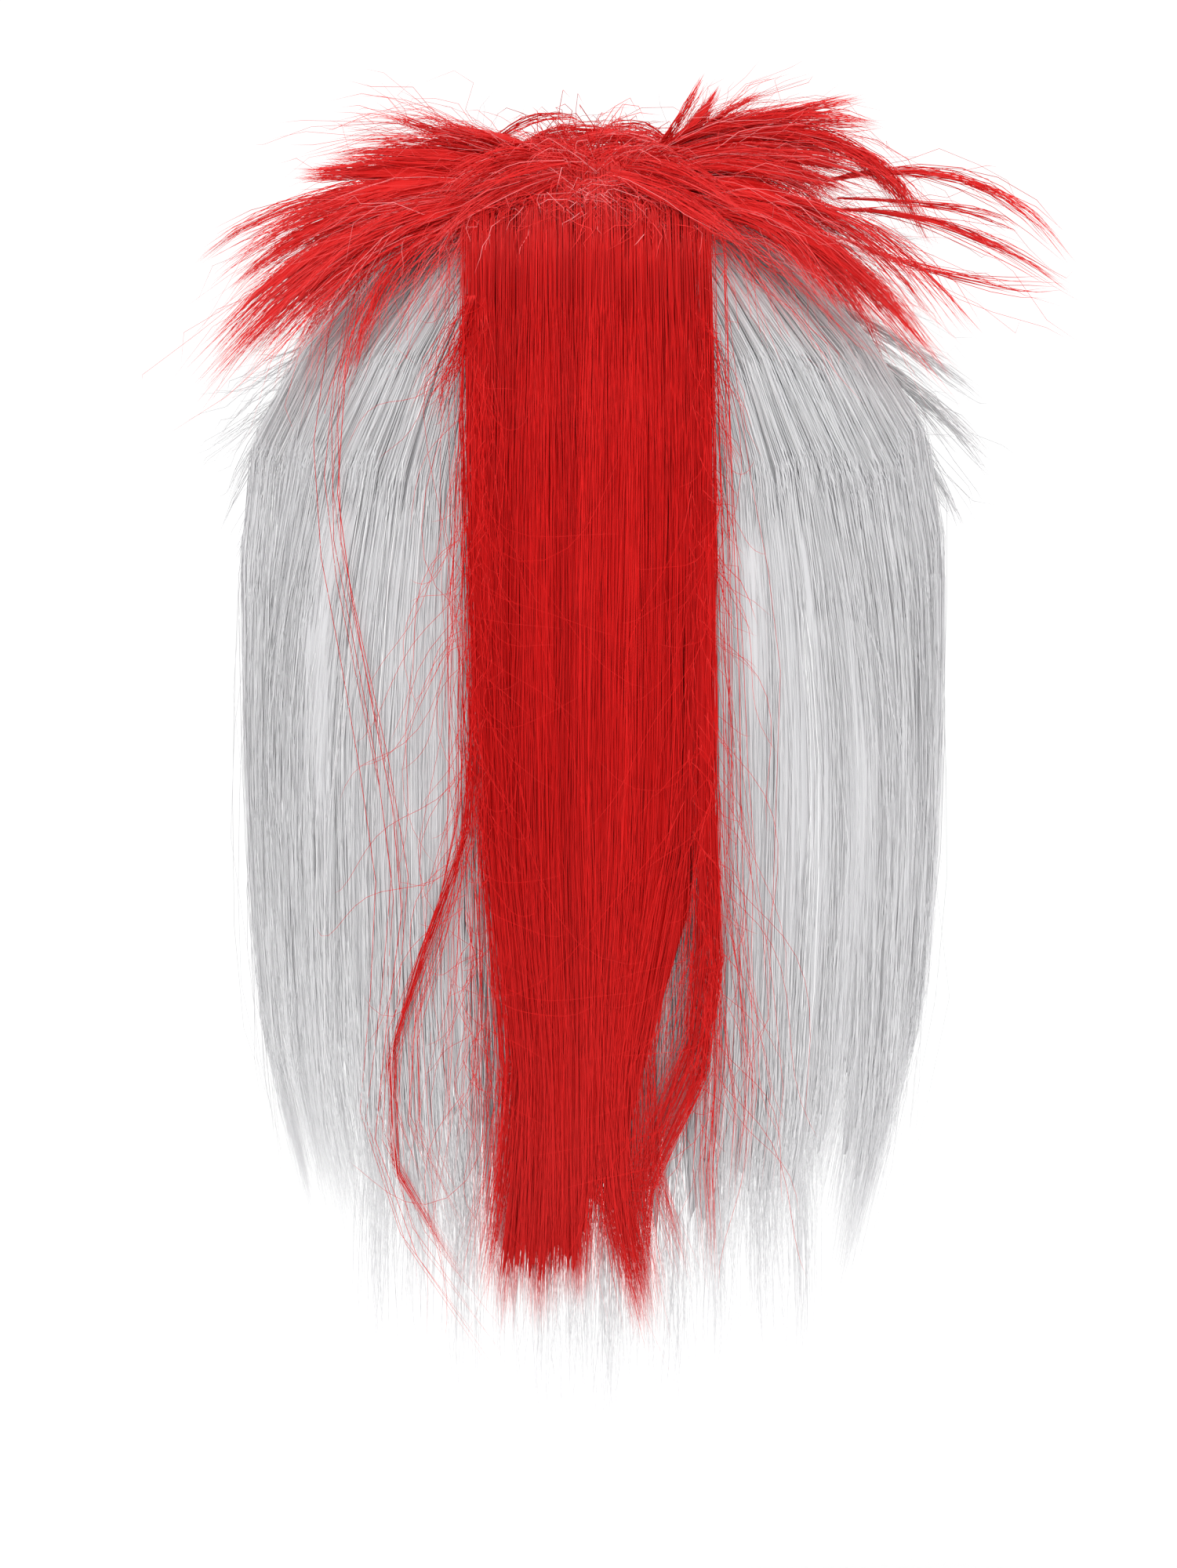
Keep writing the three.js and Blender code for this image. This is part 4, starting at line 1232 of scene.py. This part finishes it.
def tufted_piece(name, locks, turns, depths, look, pile_count):
    """Short locks over a dense pile, which lies between two turns and two shares of the cap's edge depth."""
    rng = random_for(name)
    dense = [lock for lock in locks if lock.count >= LOCK_FULL]
    bundles = []
    for lock in dense:
        # Narrow flaring locks take a near-white shade: painted light.
        shade = FLARE_PAINTED_LIGHT if lock.width < FLARE_WIDTH else None
        bundles += [short_strands(rng, part, shade=shade) for part in feathered(rng, [lock])]
    fuzz = [lock._replace(width=lock.width * 1.3, count=max(5, lock.count // 8)) for lock in dense]
    fuzz += [lock for lock in locks if lock.count < LOCK_FULL]
    bundles += fuzzy_strands(rng, fuzz)
    bundles.append(pile_strands(rng, turns, depths, pile_count))
    bodies = lock_bodies(name + "_body", [lock for lock in locks if lock.count > 100], look.coat, share=0.4)
    under = pile(name + "_pile", turns, depths, look.coat)
    return finish_piece(name, [strand_mesh(name, bundles, look.strand), under, *bodies])


for side_name, side in (("left", 1), ("right", -1)):
    red_crown(side_name, side)
    white_curtain(side_name, side)
    beside = [tuft_lock(tuft, side) for tuft in SIDES[side_name]]
    before = [tuft_lock(tuft, side) for tuft in FRONTS]
    tufted_piece(f"white_side_{side_name}", beside, (side * 62, side * 92), (0.1, 0.97), white_look, 420)
    tufted_piece(f"white_front_{side_name}", before, (side * 18, side * 62), (0.14, 0.97), white_look, 320)
tufted_piece("red_fringe", [tuft_lock(tuft) for tuft in FRINGE], (-22, 22), (0.45, 0.97), red_look, 300)
red_tail()
white_nape()


# The cap


def cap_grid(lift_at, rows, columns):
    """Rings round the head from beside the crown down to the cap's edge."""
    turn = np.linspace(0, 360, columns + 1)[None, :-1]
    edge = edge_depth(turn)
    crown_arc = 0.06
    edge_arc = np.where(
        edge < WIDEST, np.arccos(1 - np.minimum(edge, WIDEST) / WIDEST), math.pi / 2 + edge / WIDEST - 1
    )
    share = np.linspace(0, 1, rows)[:, None]
    arc = crown_arc + (edge_arc - crown_arc) * share
    depth = WIDEST * np.where(arc < math.pi / 2, 1 - np.cos(arc), 1 + arc - math.pi / 2)
    turn = np.broadcast_to(turn, depth.shape)
    return shell(turn, depth, lift_at(turn, share))


def cap_piece():
    """The sewn cap: cloth with seams where its panels meet, and a thicker hem with an elastic inside."""
    rows, columns = 36, 120
    seams = (0, 60, 120, 180, 240, 300)

    def seam_ridge(turn):
        apart = np.min([np.abs((turn - seam + 180) % 360 - 180) for seam in seams], axis=0)
        return 0.7 * np.exp(-((apart / 1.6) ** 2))

    def outside(turn, share):
        return CAP_WALL - 0.1 + 0 * turn * share

    def inside(turn, share):
        hem = 0.5 * smooth(share, 0.9, 0.93)
        gathers = 0.25 * smooth(share, 0.9, 0.95) * np.sin(np.radians(turn) * 72)
        return 0.75 - seam_ridge(turn) * smooth(share, 0.04, 0.12) - hem - gathers

    outer = cap_grid(outside, rows, columns)
    inner = cap_grid(inside, rows, columns)
    rings = np.concatenate([outer, inner[::-1]])
    levels = len(rings)
    level = np.arange(levels - 1)[:, None] * columns
    spot = np.arange(columns)[None, :]
    after = (spot + 1) % columns
    quads = np.stack([level + spot, level + spot + columns, level + after + columns, level + after], axis=-1)
    quads = quads.reshape(-1, 4)
    u = np.broadcast_to(np.linspace(0, 1, columns)[None, :], (levels, columns))
    v = np.broadcast_to(np.linspace(0, 1, levels)[:, None], (levels, columns))
    uv = np.stack([u, v], axis=-1).reshape(-1, 2)
    first_pole = levels * columns
    poles = np.array([[0, 0, rings[0, 0, 2]], [0, 0, rings[-1, 0, 2]]])
    vertices = np.concatenate([rings.reshape(-1, 3), poles])
    spot, after = spot[0], after[0]
    last = (levels - 1) * columns
    triangles = np.concatenate(
        [
            np.stack([spot, after, np.full(columns, first_pole)], axis=-1),
            np.stack([last + after, last + spot, np.full(columns, first_pole + 1)], axis=-1),
        ]
    )
    uv = np.concatenate([uv, [[0.5, 0.0], [0.5, 1.0]]])
    corner_uv = np.concatenate([uv[quads.ravel()], uv[triangles.ravel()]])
    piece = make_mesh("cap_cloth", vertices, quads, triangles, corner_uv, cloth_material())
    return finish_piece("cap", [piece], "_cloth")


cap_piece()


# The room: a plain pale floor and soft light


def floor():
    material = bpy.data.materials.new("pale_floor")
    material.use_nodes = True
    shader = material.node_tree.nodes["Principled BSDF"]
    shader.inputs["Base Color"].default_value = (0.97, 0.97, 0.97, 1)
    shader.inputs["Roughness"].default_value = 0.8
    shader.inputs["Specular IOR Level"].default_value = 0.1
    mesh = bpy.data.meshes.new("floor")
    half, low = 6.0, -FLOOR_DEPTH * MM
    corners = [(-half, -half, low), (half, -half, low), (half, half, low), (-half, half, low)]
    mesh.from_pydata(corners, [], [(0, 1, 2, 3)])
    mesh.materials.append(material)
    obj = bpy.data.objects.new("floor", mesh)
    bpy.context.scene.collection.objects.link(obj)


def area_light(name, place, aim, power):
    light = bpy.data.lights.new(name, "AREA")
    light.size = LAMP_SIZE
    light.energy = power
    obj = bpy.data.objects.new(name, light)
    obj.location = place
    obj.rotation_euler = (Vector(aim) - Vector(place)).to_track_quat("-Z", "Y").to_euler()
    bpy.context.scene.collection.objects.link(obj)


def light_and_camera():
    scene = bpy.context.scene
    world = bpy.data.worlds.new("studio")
    scene.world = world
    world.use_nodes = True
    background = world.node_tree.nodes["Background"]
    background.inputs["Color"].default_value = (1, 1, 1, 1)
    background.inputs["Strength"].default_value = ROOM_LIGHT
    for name, place, power in LAMPS:
        area_light(name, place, (0, 0, AIM_HEIGHT * MM), power)
    scene.view_settings.view_transform = "Standard"
    camera = bpy.data.cameras.new("camera")
    camera.lens = LENS
    camera.sensor_width = SENSOR
    camera.clip_start = 0.05
    camera.clip_end = 30
    obj = bpy.data.objects.new("camera", camera)
    reach = DISTANCE * MM
    obj.location = (0, reach * math.cos(ELEVATION), AIM_HEIGHT * MM + reach * math.sin(ELEVATION))
    obj.rotation_euler = (math.pi / 2 - ELEVATION, 0, math.pi)
    scene.collection.objects.link(obj)
    scene.camera = obj


floor()
light_and_camera()
